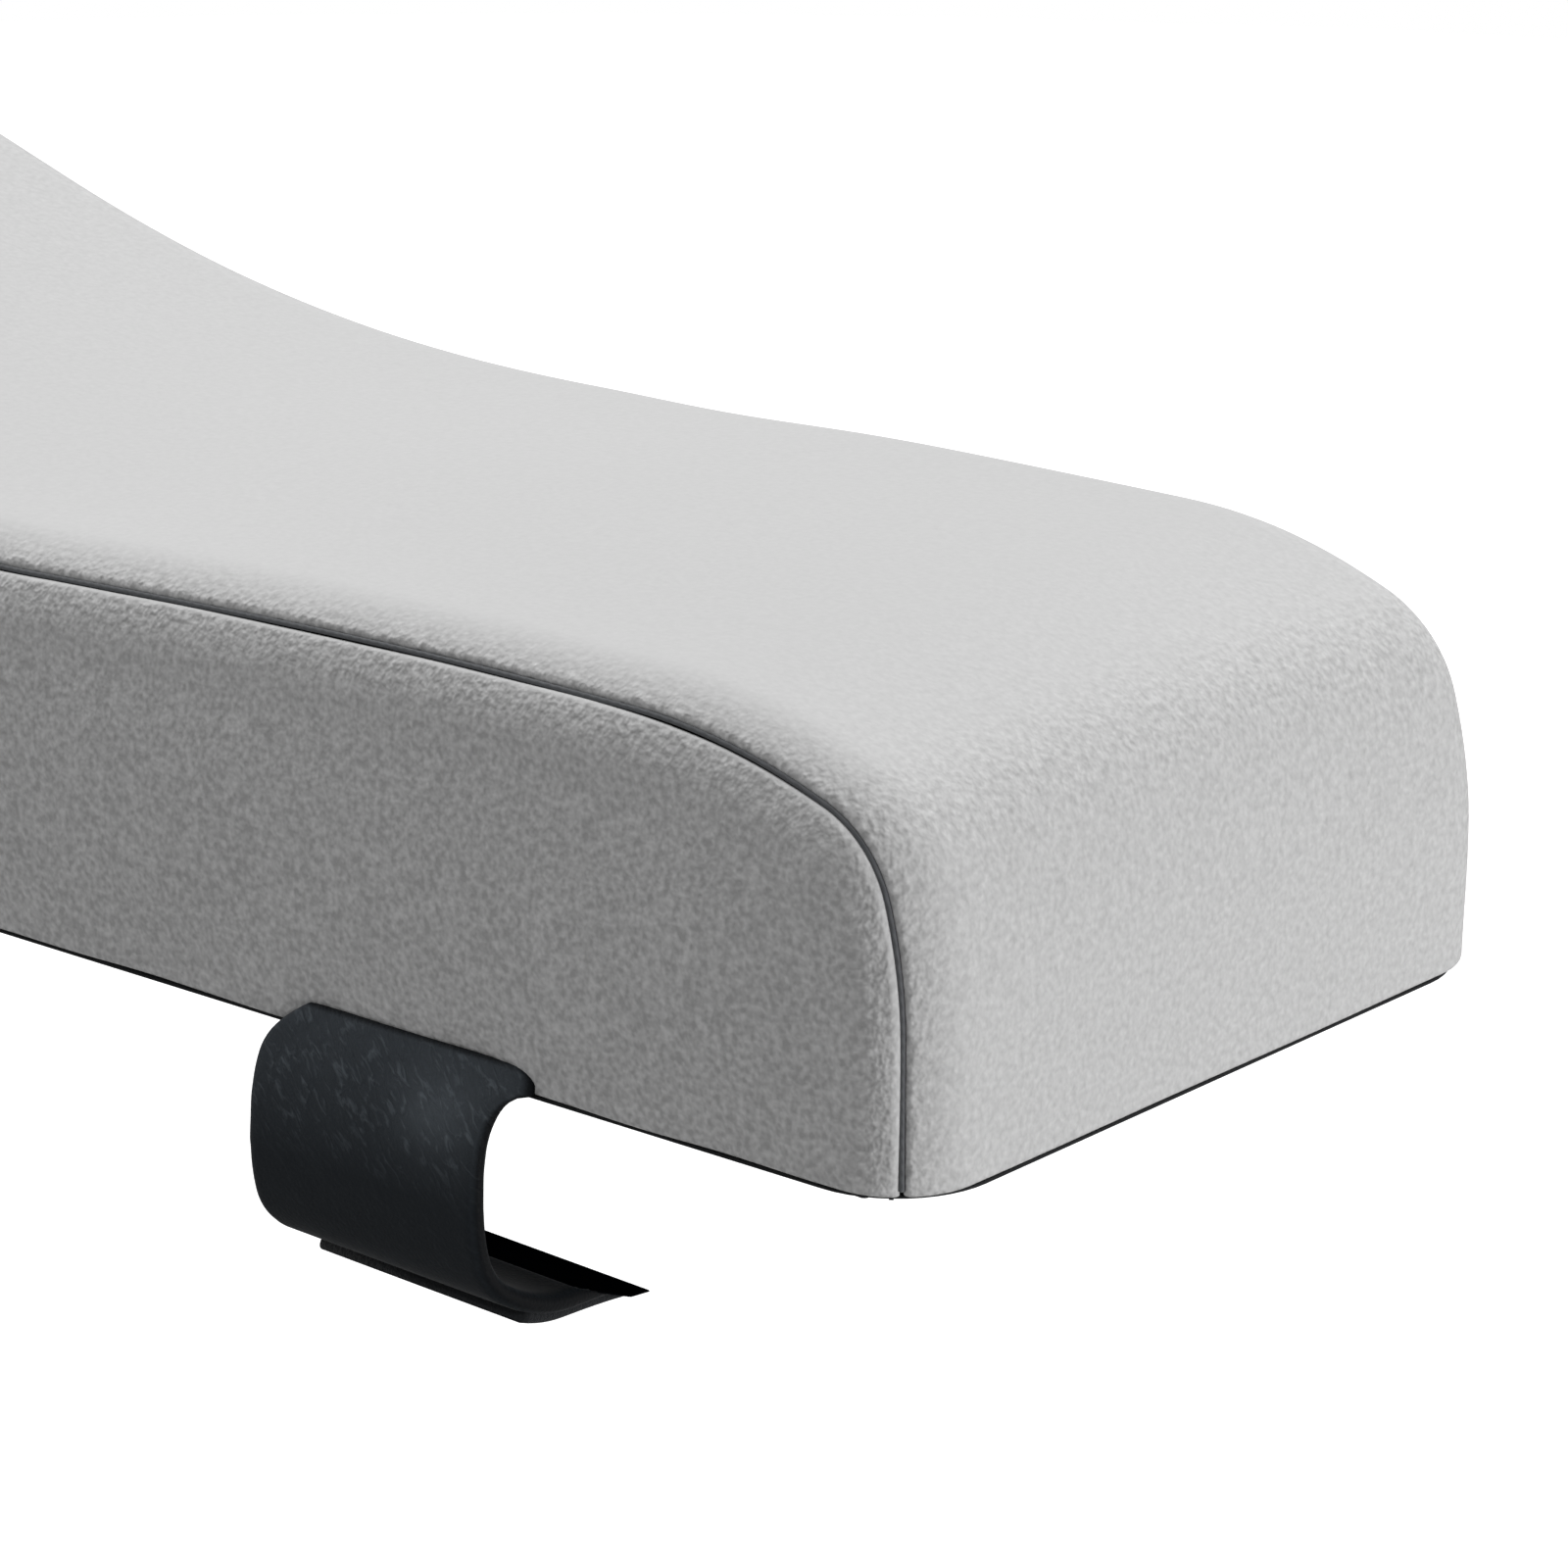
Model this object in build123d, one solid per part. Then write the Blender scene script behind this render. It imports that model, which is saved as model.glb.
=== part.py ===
from build123d import *
import math
import os

# Chair armrest pad, in millimetres.  The origin is the centre of the base face that lies
# on the chair's arm.  +X runs to the low rounded front end, +Z is up, -Y is the right side.

# ---- driving dimensions of the pad ----
length = 280.0
width = 95.0
edge_radius = 9.0            # the rounded edge that each side seam follows
seam_angle = 49.0            # of the seam round that edge, down from its top
cover = 1.2                  # knitted cover with its backing
liner = 0.3                  # thin inner sock round the foam
grip = 0.3                   # anti-slip sheet
base_cloth = 0.9             # black base panel
base_inset = 0.2             # its edge, in from the cover's
base_corner = 12.0
grip_size = (236.0, 66.0)
grip_corner = 10.0
base_stitch_inset = 3.8      # the base's lock stitch, in from the base panel's edge
stitch_width = 0.5
stitch_depth = 0.2

# ---- the line of the top, from the front end to the rear end ----
# Each bend is a radius and the slope in degrees after it; a minus radius is hollow.
front_straight = 15.8        # the front face is upright up to here
nose_bends = [(50.0, 74.0), (15.5, 20.0), (72.5, 0.0), (1950.0, -2.4), (-250.0, 17.9)]
crest_bends = [(66.0, -20.0), (26.0, -90.0)]

# ---- half straps ----
strap_width = 30.0
strap_thickness = 2.1
strap_centre = 72.25         # distance of each pair's middle from the pad's centre
root_inboard = 0.6           # hinge line of the root, in from the side face
root_height = 1.7
root_droop = 50.0            # degrees below straight out, where the strap leaves the seam
strap_bends = [(5.6, 65.5), (29.0, 101.0), (7.6, 146.0), (22.5, 174.0)]
fold_droop = 135.0           # where the lower bend folds
tab_droop = 158.0            # where the closing tab starts
right_reach = 22.2           # free end of a right half, in from the side face
left_reach = 37.0
skive_length = 11.2          # a right half's free end thins to its edge over this length
fold_gap = 0.2
tab_thickness = 1.3
tab_inset = 1.5
stitch_margin = 1.2          # the tab's stitch frame, in from its edge
margin_turn = 3.0            # degrees round the tab's bend for a millimetre of that margin
stitch_raised = 0.15
anchor_depth = 16.0
anchor_thickness = 1.6
slot_clearance = 0.3
root_flare = 6.2             # extra room in the filling, towards the front, where a root widens
root_rise = 1.4              # and above the root, which swings up as the strap is lifted

# ---- zip across the rear end ----
zip_height = 12.0
zip_half = 34.0
tape_width = 8.5
tape_thickness = 0.6
tape_spare = 2.5             # the tapes run this far past each end of the zip
pocket_depth = 2.4
window_half = 3.6            # half the height of the slit in the cover
coil_width = 1.55
coil_gap = 0.55              # from the zip's centre line to each coil
coil_round = 0.6
coil_proud = 0.3             # the coils stand this far out of the rear face
stop_size = (0.5, 1.6, 5.2)  # out from the coils, along them, across them
slider_length = 9.0
slider_width = 6.4
wing_thickness = (1.0, 0.9)  # front and back wing
wing_out = (0.6, 2.1)        # front wing out from the rear face, back wing in from it
wing_corner = 1.6
post_size = (2.5, 0.5)       # along the zip and across it
post_start = 1.0
lug_inner = 1.3
lug_outer = 1.9
lug_half = 0.9
slider_start = -27.0
pull_length = 14.0
pull_half = 2.4              # half the puller's width
pull_thickness = 0.9
neck_half = 1.0
eye_radius = 0.9
hole_radius = 1.2
hole_from_end = 3.4
pin_radius = 0.45
pin_clearance = 0.06
pin_out = 2.9                # the pull's pin, out from the rear face

# ---- worked out from the above ----
half_length = length / 2
half_width = width / 2
cover_bottom = base_cloth
foam_bottom = cover_bottom + liner
seam_plane = half_width - edge_radius * (1 - math.sin(math.radians(seam_angle)))
half_thick = strap_thickness / 2
rear_face = -half_length


# ---- bent lines: arcs that follow one another smoothly ----
def left_of(heading):
    """Unit vector to the left of a heading in degrees."""
    angle = math.radians(heading)
    return (-math.sin(angle), math.cos(angle))


def moved(point, heading, forward, left):
    """A point moved forward along a heading and to the left of it."""
    side = left_of(heading)
    return (
        point[0] + forward * side[1] + left * side[0],
        point[1] - forward * side[0] + left * side[1],
    )


def follow(point, heading, bends):
    """Each bend's centre, radius and headings; a plus radius turns left."""
    arcs = []
    for radius, after in bends:
        centre = moved(point, heading, 0, radius)
        arcs.append((centre, radius, heading, after))
        point = moved(centre, after, 0, -radius)
        heading = after
    return arcs


def on_arc(arc, heading, left=0.0):
    """Point of an arc at a heading, shifted to the left."""
    centre, radius = arc[0], arc[1]
    return moved(centre, heading, 0, left - radius)


def arc_edge(arc, start, stop, left):
    middle = (start + stop) / 2
    return ThreePointArc(*[on_arc(arc, heading, left) for heading in (start, middle, stop)])


def right_turns(bends):
    return [(-radius, after) for radius, after in bends]


# ---- the pad's side view, drawn from the front end towards the rear ----
nose_arcs = follow((0, front_straight), 90.0, right_turns(nose_bends))
slope = nose_bends[-1][1]
crest_travel = on_arc(follow((0, 0), slope, right_turns(crest_bends))[-1], -90.0)[0]
slope_start = on_arc(nose_arcs[-1], slope)
slope_run = (length - crest_travel - slope_start[0]) / math.cos(math.radians(slope))
crest_start = moved(slope_start, slope, slope_run, 0)
crest_arcs = follow(crest_start, slope, right_turns(crest_bends))
crest_height = crest_start[1] + crest_bends[0][0] * (1 - math.cos(math.radians(slope)))


def side_view(inset, bottom):
    """Outline of the pad seen from the side, drawn in by inset all round."""
    front = (inset, bottom)
    rear = (length - inset, bottom)
    with BuildSketch(Plane.XZ) as outline:
        with BuildLine():
            Line(front, (inset, front_straight))
            for arc in nose_arcs:
                arc_edge(arc, arc[2], arc[3], -inset)
            Line(on_arc(nose_arcs[-1], slope, -inset), on_arc(crest_arcs[0], slope, -inset))
            for arc in crest_arcs:
                arc_edge(arc, arc[2], arc[3], -inset)
            Line(on_arc(crest_arcs[-1], -90.0, -inset), rear)
            Line(rear, front)
        make_face()
    return outline.sketch


def block(inset, bottom):
    """The pad's outer form drawn in by inset, with both side edges rounded."""
    body = extrude(side_view(inset, bottom), half_width - inset, both=True)
    body = Pos(half_length, 0, 0) * mirror(body, Plane.YZ)
    loops = [
        edge
        for edge in body.edges()
        if abs(edge.center().Y) > half_width - inset - 0.01 and edge.center().Z > bottom + 0.01
    ]
    return fillet(loops, edge_radius - inset)


def slab(low_y, high_y):
    """Everything between two upright planes along the pad."""
    depth = high_y - low_y
    return Pos(0, (low_y + high_y) / 2, 0) * Box(2 * length, depth, 2 * length)


def brick(low, high):
    """A box from its lowest to its highest corner."""
    size = [b - a for a, b in zip(low, high)]
    middle = [(a + b) / 2 for a, b in zip(low, high)]
    return Pos(*middle) * Box(*size)


# ---- cover ----
groove_depth = 0.6
groove_half = 0.35
thread_depth = 0.25
thread_half = 0.22
beyond = 5.0                 # how far a cutting form runs past what it cuts


pad_form = block(0, cover_bottom)
groove_floor = block(groove_depth, cover_bottom - beyond)
cover_shell = pad_form - block(cover, cover_bottom - beyond)


def seam_groove(side):
    ring = pad_form - groove_floor
    return ring & slab(side * seam_plane - groove_half, side * seam_plane + groove_half)


def seam_thread(side):
    """The sewing line lies in the bottom of the groove between two panels."""
    ring = block(thread_depth, cover_bottom) - groove_floor
    return ring & slab(side * seam_plane - thread_half, side * seam_plane + thread_half)


def strap_slot(end, side, flare=0.0, rise=0.0):
    """Opening in the base seam that the root of a half strap turns in."""
    half = strap_width / 2 + slot_clearance
    reach = root_inboard + half_thick + slot_clearance
    top = root_height + half_thick + slot_clearance + rise
    middle = end * strap_centre
    low_y, high_y = sorted((side * (half_width + beyond), side * (half_width - reach)))
    return brick((middle - half, low_y, -beyond), (middle + half + flare, high_y, top))


def zip_pocket():
    """Room behind the rear wall for the tapes and the slider's back wing."""
    half = tape_width + coil_gap + slot_clearance
    reach = zip_half + tape_spare + slot_clearance
    low = (rear_face + cover, -reach, zip_height - half)
    high = (rear_face + cover + pocket_depth, reach, zip_height + half)
    return brick(low, high)


def zip_window():
    """The slit in the rear wall that the zip closes."""
    low = (rear_face - beyond, -zip_half, zip_height - window_half)
    high = (rear_face + cover, zip_half, zip_height + window_half)
    return brick(low, high)


def top_panel():
    """One strip of cloth: up the front end, along the top and down the rear end."""
    strip = cover_shell & slab(-seam_plane, seam_plane)
    return strip - seam_groove(1) - seam_groove(-1) - zip_window()


def side_panel(side):
    if side > 0:
        panel = cover_shell & slab(seam_plane, half_width + beyond)
    else:
        panel = cover_shell & slab(-half_width - beyond, -seam_plane)
    return panel - seam_groove(side) - strap_slot(1, side) - strap_slot(-1, side)


def rounded_plate(size_x, size_y, radius, bottom, thickness):
    outline = RectangleRounded(size_x, size_y, radius)
    return Pos(0, 0, bottom) * extrude(outline, thickness)


def base_plate(inset, bottom, thickness):
    """A plate with the base panel's outline drawn in by inset."""
    size_x = length - 2 * (base_inset + inset)
    size_y = width - 2 * (base_inset + inset)
    return rounded_plate(size_x, size_y, base_corner - inset, bottom, thickness)


def base_panel():
    """Black cloth with a bed for the anti-slip sheet and a groove for its stitching."""
    plate = base_plate(0, 0, base_cloth) - base_seam_thread()
    plate -= rounded_plate(*grip_size, grip_corner, 0, grip)
    for end in (1, -1):
        for side in (1, -1):
            plate -= strap_slot(end, side)
    return plate


def grip_sheet():
    return rounded_plate(*grip_size, grip_corner, 0, grip)


def base_seam_thread():
    """Lock stitch that holds the turned edge of the base panel."""
    outer = base_plate(base_stitch_inset, 0, stitch_depth)
    return outer - base_plate(base_stitch_inset + stitch_width, 0, stitch_depth)


# ---- filling ----
def anchor(end, side):
    """The root of a half strap, sewn flat into the base seam."""
    start = half_width - root_inboard - half_thick - slot_clearance
    low_y, high_y = sorted((side * start, side * (half_width - anchor_depth)))
    middle = end * strap_centre
    half = strap_width / 2
    low = (middle - half, low_y, cover_bottom)
    high = (middle + half, high_y, cover_bottom + anchor_thickness)
    return brick(low, high)


def without_fittings(solid):
    """Leave room for the strap roots and for the zip."""
    solid -= zip_pocket()
    for end in (1, -1):
        for side in (1, -1):
            solid -= anchor(end, side)
            solid -= strap_slot(end, side, root_flare, root_rise)
    return solid


def foam_core():
    return without_fittings(block(cover + liner, foam_bottom))


def foam_liner():
    return without_fittings(block(cover, cover_bottom) - block(cover + liner, foam_bottom))


# ---- half straps, drawn inboard and up from the pad's lower edge ----
# A droop of 0 points straight out, 90 down and 180 inboard; the hollow is on the left.
def heading_of(droop):
    return 180.0 + droop


root_point = (root_inboard, root_height)
turns = [(radius, heading_of(droop)) for radius, droop in strap_bends]
strap_arcs = follow(root_point, heading_of(root_droop), turns)
end_droop = strap_bends[-1][1]


def on_strap(droop, outward, run=0.0):
    """Point of the strap, shifted to its outer side and run along the straight end."""
    heading = heading_of(droop)
    for arc in strap_arcs:
        if heading <= arc[3]:
            break
    return moved(on_arc(arc, heading, -outward), heading, run, 0)


def strap_strip(start, stop, inner, outer, run=0.0, strip_width=strap_width):
    """A length of strap between two droops, on the right side, centred on X = 0."""
    with BuildSketch(Plane.YZ) as section:
        with BuildLine():
            for outward in (inner, outer):
                for arc in strap_arcs:
                    low = max(arc[2], heading_of(start))
                    high = min(arc[3], heading_of(stop))
                    if high - low > 0.01:
                        arc_edge(arc, low, high, -outward)
                if run:
                    Line(on_strap(stop, outward), on_strap(stop, outward, run))
            Line(on_strap(start, inner), on_strap(start, outer))
            Line(on_strap(stop, inner, run), on_strap(stop, outer, run))
        make_face()
    return extrude(section.sketch, strip_width / 2, both=True)


def round_bar(point, radius, bar_length):
    """A bar along X through a point of the strap's section."""
    return Pos(0, *point) * (Rot(0, 90, 0) * Cylinder(radius, bar_length))


fold_point = on_strap(fold_droop, 0)


def straight_run(reach):
    """Length of the flat end that brings the free end to its reach."""
    start = on_strap(end_droop, 0)
    return (reach - start[0]) / -math.cos(math.radians(end_droop))


def placed(solid, end, side):
    """Put a strap piece drawn for the right side in its place."""
    solid = Pos(0, -half_width, 0) * solid
    if side > 0:
        solid = mirror(solid, Plane.XZ)
    return Pos(end * strap_centre, 0, 0) * solid


def strap_band():
    """From the root's round end to the fold of the lower bend."""
    band = strap_strip(root_droop, fold_droop, -half_thick, half_thick)
    band += round_bar(root_point, half_thick, strap_width)
    return band - round_bar(fold_point, half_thick + fold_gap, strap_width + 2)


def strap_tip(reach):
    """From the fold to the free end."""
    run = straight_run(reach)
    tip = strap_strip(fold_droop, end_droop, -half_thick, half_thick, run)
    return tip + round_bar(fold_point, half_thick, strap_width)


def tab_strip(reach, level, thick, face, margin):
    """A layer on the tip: face 1 is its outer side, -1 its inner side."""
    near = half_thick + level
    low, high = sorted((face * near, face * (near + thick)))
    wide = strap_width - 2 * tab_inset - 2 * margin
    start = tab_droop + margin * margin_turn
    run = straight_run(reach) - margin
    return strap_strip(start, end_droop, low, high, run, wide)


def skived(solid, reach):
    """Cut a free end at a slant from its upper face down to the tab's lower face."""
    run = straight_run(reach)
    thick = on_strap(end_droop, -half_thick, run - skive_length)
    thin = on_strap(end_droop, half_thick + tab_thickness, run)
    across = (thin[0] - thick[0], thin[1] - thick[1])
    before = (thick[0] - across[0], thick[1] - across[1])
    beyond = (thin[0] + across[0], thin[1] + across[1])
    above = on_strap(end_droop, -strap_width, run)
    with BuildSketch(Plane.YZ) as corner:
        with BuildLine():
            Polyline(before, beyond, above, close=True)
        make_face()
    return solid - extrude(corner.sketch, strap_width, both=True)


def closing_tab(reach, face):
    return tab_strip(reach, 0, tab_thickness, face, 0)


def tab_stitching(reach, face):
    """A frame of lock stitch round the closing tab."""
    frame = tab_strip(reach, tab_thickness, stitch_raised, face, stitch_margin)
    inside = stitch_margin + stitch_width
    return frame - tab_strip(reach, tab_thickness / 2, tab_thickness, face, inside)


# ---- zip ----
def zip_tape(side):
    low_z, high_z = sorted((side * coil_gap, side * (coil_gap + tape_width)))
    reach = zip_half + tape_spare
    low = (rear_face + cover, -reach, zip_height + low_z)
    high = (rear_face + cover + tape_thickness, reach, zip_height + high_z)
    return brick(low, high)


def zip_coil(side):
    low_z, high_z = sorted((side * coil_gap, side * (coil_gap + coil_width)))
    reach = zip_half - coil_gap
    low = (rear_face - coil_proud, -reach, zip_height + low_z)
    high = (rear_face + cover, reach, zip_height + high_z)
    outer_edges = brick(low, high).edges().filter_by(Axis.Y).group_by(Axis.X)[0]
    return fillet(outer_edges, coil_round)


def zip_stops():
    """A crimped staple over both coils at each end."""
    stops = []
    face = rear_face - coil_proud
    out, along, across = stop_size
    for end in (1, -1):
        middle = end * (zip_half - along)
        low = (face - out, middle - along / 2, zip_height - across / 2)
        high = (face, middle + along / 2, zip_height + across / 2)
        stops.append(fillet(brick(low, high).edges().filter_by(Axis.X), coil_proud))
    return Compound(children=stops)


def zip_slider():
    """Front and back wings joined by a post between the coils, with lugs for the pull."""
    y = slider_start
    half = slider_length / 2
    wide = slider_width / 2
    face_out = rear_face - wing_out[0]
    face_in = rear_face + wing_out[1]
    front = brick((face_out - wing_thickness[0], y - half, zip_height - wide),
                  (face_out, y + half, zip_height + wide))
    front = fillet(front.edges().filter_by(Axis.X), wing_corner)
    back = brick((face_in, y - half + post_start, zip_height - wide),
                 (face_in + wing_thickness[1], y + half - post_start, zip_height + wide))
    back = fillet(back.edges().filter_by(Axis.X), wing_corner)
    post = brick((face_out - post_size[1] / 2, y + post_start, zip_height - post_size[1] / 2),
                 (face_in + post_size[1] / 2, y + post_start + post_size[0],
                  zip_height + post_size[1] / 2))
    slider = front + back + post
    for side in (1, -1):
        low_z, high_z = sorted((side * lug_inner, side * lug_outer))
        lug = brick((rear_face - pin_out - lug_half, y - lug_half, zip_height + low_z),
                    (face_out - wing_thickness[0] / 2, y + lug_half, zip_height + high_z))
        slider += lug
    pin_length = lug_inner + lug_outer
    pin = Pos(rear_face - pin_out, y, zip_height) * Cylinder(pin_radius, pin_length)
    return slider + pin


def zip_pull():
    """A flat puller that turns on the slider's pin and lies along the tape."""
    y = slider_start
    place = Pos(rear_face - pin_out, y, zip_height)
    low_x = rear_face - pin_out - pull_thickness / 2
    high_x = rear_face - pin_out + pull_thickness / 2
    eye = place * Cylinder(eye_radius, 2 * neck_half)
    neck = brick((low_x, y, zip_height - neck_half),
                 (high_x, y + pull_half + neck_half, zip_height + neck_half))
    blade = brick((low_x, y + pull_half, zip_height - pull_half),
                  (high_x, y + pull_length, zip_height + pull_half))
    blade = fillet(blade.edges().filter_by(Axis.X), neck_half)
    hole = Pos(rear_face - pin_out, y + pull_length - hole_from_end, zip_height)
    blade -= hole * (Rot(0, 90, 0) * Cylinder(hole_radius, pull_length))
    return eye + neck + blade - place * Cylinder(pin_radius + pin_clearance, pull_length)


def save(name, solid):
    export_step(solid, f"parts/{name}.step")


os.makedirs("parts", exist_ok=True)
save("top_panel", top_panel())
save("base_panel", base_panel())
save("grip_sheet", grip_sheet())
save("base_seam_thread", base_seam_thread())
save("foam_core", foam_core())
save("foam_liner", foam_liner())
for side_name, side in (("right", -1), ("left", 1)):
    save(f"side_panel_{side_name}", side_panel(side))
    save(f"seam_thread_{side_name}", seam_thread(side))
    if side_name == "right":
        reach = right_reach
        face = 1
        tab_name = "loop_tab"
    else:
        reach = left_reach
        face = -1
        tab_name = "hook_tab"
    for end_name, end in (("front", 1), ("rear", -1)):
        place = f"{end_name}_{side_name}"
        save(f"anchor_{place}", anchor(end, side))
        save(f"strap_band_{place}", placed(strap_band(), end, side))
        tip = strap_tip(reach)
        tab = closing_tab(reach, face)
        if side < 0:
            tip = skived(tip, reach)
            tab = skived(tab, reach)
        save(f"strap_tip_{place}", placed(tip, end, side))
        save(f"{tab_name}_{place}", placed(tab, end, side))
        save(f"tab_stitching_{place}", placed(tab_stitching(reach, face), end, side))
for level_name, side in (("upper", 1), ("lower", -1)):
    save(f"zip_tape_{level_name}", zip_tape(side))
    save(f"zip_coil_{level_name}", zip_coil(side))
save("zip_stops", zip_stops())
save("zip_slider", zip_slider())
save("zip_pull", zip_pull())
print("seam plane", round(seam_plane, 3))
print("crest height", round(crest_height, 3), "slope run", round(slope_run, 3))
print("root", root_point, "fold", [round(value, 3) for value in fold_point])
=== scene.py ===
import math

import bmesh
import bpy
from mathutils import Matrix, Vector, noise


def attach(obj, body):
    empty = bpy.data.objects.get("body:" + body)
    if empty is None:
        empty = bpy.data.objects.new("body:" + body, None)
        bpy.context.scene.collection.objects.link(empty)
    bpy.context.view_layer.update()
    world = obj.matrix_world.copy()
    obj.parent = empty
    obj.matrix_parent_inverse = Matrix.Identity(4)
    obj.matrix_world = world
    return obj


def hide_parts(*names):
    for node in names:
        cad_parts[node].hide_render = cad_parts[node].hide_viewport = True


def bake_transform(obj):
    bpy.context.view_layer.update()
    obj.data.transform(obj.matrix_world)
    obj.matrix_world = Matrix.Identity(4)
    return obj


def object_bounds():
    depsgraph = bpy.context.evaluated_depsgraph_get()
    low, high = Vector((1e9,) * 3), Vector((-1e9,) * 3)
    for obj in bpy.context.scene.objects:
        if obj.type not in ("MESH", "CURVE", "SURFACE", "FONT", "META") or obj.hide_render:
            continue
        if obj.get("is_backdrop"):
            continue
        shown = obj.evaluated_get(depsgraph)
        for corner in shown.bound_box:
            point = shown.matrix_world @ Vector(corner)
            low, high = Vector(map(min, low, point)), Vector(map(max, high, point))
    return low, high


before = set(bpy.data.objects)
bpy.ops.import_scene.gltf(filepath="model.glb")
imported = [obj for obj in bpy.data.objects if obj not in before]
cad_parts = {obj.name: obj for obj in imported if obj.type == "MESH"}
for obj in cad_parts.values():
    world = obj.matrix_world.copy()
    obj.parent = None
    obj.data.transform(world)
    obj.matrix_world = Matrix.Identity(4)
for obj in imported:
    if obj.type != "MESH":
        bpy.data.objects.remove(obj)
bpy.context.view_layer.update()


# ---- Viewpoint -----------------------------------------------------------------------------
# A long lens about 0.6 m from the low front corner of the pad, looking down a little, so
# that the front end, the top and the right side show and the rear end is out of the view.
mm = 0.001
lens = bpy.data.cameras.new("viewpoint")
lens.lens = 147.4
lens.sensor_width = 36.0
lens.clip_start = 0.02
lens.clip_end = 20.0
viewpoint = bpy.data.objects.new("viewpoint", lens)
bpy.context.collection.objects.link(viewpoint)
viewpoint.location = Vector((487.4, -475.5, 221.6)) * mm
viewpoint.rotation_euler = (math.radians(90 - 18.03), 0, math.radians(40.3))
bpy.context.scene.camera = viewpoint
bpy.context.scene.view_settings.view_transform = "Standard"


# ---- Light, floor and white surround -------------------------------------------------------
# A wide soft box above and behind the left side, a low one in front and a weak even surround.
# The pale floor lies well below the pad, as under a chair's arm, and keeps the pad's shadow.
def colour(text):
    """An sRGB hex colour as linear red, green, blue and alpha."""
    parts = [int(text[i:i + 2], 16) / 255 for i in (1, 3, 5)]
    linear = [c / 12.92 if c <= 0.04045 else ((c + 0.055) / 1.055) ** 2.4 for c in parts]
    return (*linear, 1.0)


def node(tree, kind, settings=None, links=None):
    """Adds a shader node, sets its inputs or properties and links other nodes to it."""
    made = tree.nodes.new("ShaderNode" + kind)
    for name, value in (settings or {}).items():
        if isinstance(name, int) or name in made.inputs:
            made.inputs[name].default_value = value
        else:
            setattr(made, name, value)
    for name, source in (links or {}).items():
        tree.links.new(source, made.inputs[name])
    return made


def soft_box(name, azimuth, elevation, distance, size, level):
    """A round lamp aimed at the pad; at level 1 it lights a facing surface fully."""
    light = bpy.data.lights.new(name, "AREA")
    light.shape = "DISK"
    light.size = size
    light.energy = level * (math.pi * distance) ** 2
    stand = bpy.data.objects.new(name, light)
    bpy.context.collection.objects.link(stand)
    flat = math.cos(math.radians(elevation)) * distance
    stand.location = (
        flat * math.cos(math.radians(azimuth)),
        flat * math.sin(math.radians(azimuth)),
        math.sin(math.radians(elevation)) * distance,
    )
    stand.rotation_euler = (-stand.location).to_track_quat("-Z", "Y").to_euler()


def seen_straight(tree):
    """1 for what the lens sees itself, 0 for what only lights other things."""
    ray = node(tree, "LightPath")
    return node(tree, "Math", {"operation": "MAXIMUM"},
                {0: ray.outputs["Is Camera Ray"], 1: ray.outputs["Is Transmission Ray"]})


soft_box("overhead_box", azimuth=152, elevation=62, distance=2.4, size=2.1, level=0.90)
soft_box("front_box", azimuth=12, elevation=4, distance=0.9, size=0.26, level=0.36)

surround = bpy.data.worlds.new("surround")
bpy.context.scene.world = surround
surround.use_nodes = True
air = surround.node_tree
air.nodes.clear()
fill_light = node(air, "Background", {"Color": colour("#FFFFFF"), "Strength": 0.27})
white_wall = node(air, "Background", {"Color": colour("#FFFFFF"), "Strength": 1.0})
choice = node(air, "MixShader", {}, {
    0: seen_straight(air).outputs[0],
    1: fill_light.outputs[0],
    2: white_wall.outputs[0],
})
node(air, "OutputWorld", {}, {"Surface": choice.outputs[0]})

floor_height = -0.13
floor_radius = 1.1
floor_shape = bmesh.new()
bmesh.ops.create_circle(floor_shape, cap_ends=True, segments=64, radius=floor_radius)
bmesh.ops.translate(floor_shape, verts=floor_shape.verts, vec=(0, 0, floor_height))
floor_mesh = bpy.data.meshes.new("floor")
floor_shape.to_mesh(floor_mesh)
floor_shape.free()
floor = bpy.data.objects.new("floor", floor_mesh)
bpy.context.collection.objects.link(floor)
floor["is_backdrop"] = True

# Matt paint.  It lights the pad as mid grey; to the eye it adds up to white except where the
# pad shades it, and from below it is clear, so that the underside can be looked at.
paint = bpy.data.materials.new("matt_floor_paint")
paint.use_nodes = True
sheet = paint.node_tree
sheet.nodes.clear()
matt = node(sheet, "BsdfDiffuse", {"Color": colour("#B2B2B2")})
lit = node(sheet, "BsdfDiffuse", {"Color": colour("#B4B4B4")})
glow = node(sheet, "Emission", {"Color": colour("#FFFFFF"), "Strength": 0.86})
shown = node(sheet, "AddShader", {}, {0: lit.outputs[0], 1: glow.outputs[0]})
above = node(sheet, "MixShader", {}, {
    0: seen_straight(sheet).outputs[0],
    1: matt.outputs[0],
    2: shown.outputs[0],
})
side_seen = node(sheet, "NewGeometry")
clear = node(sheet, "BsdfTransparent")
choice = node(sheet, "MixShader", {}, {
    0: side_seen.outputs["Backfacing"],
    1: above.outputs[0],
    2: clear.outputs[0],
})
node(sheet, "OutputMaterial", {}, {"Surface": choice.outputs[0]})
floor_mesh.materials.append(paint)


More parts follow.
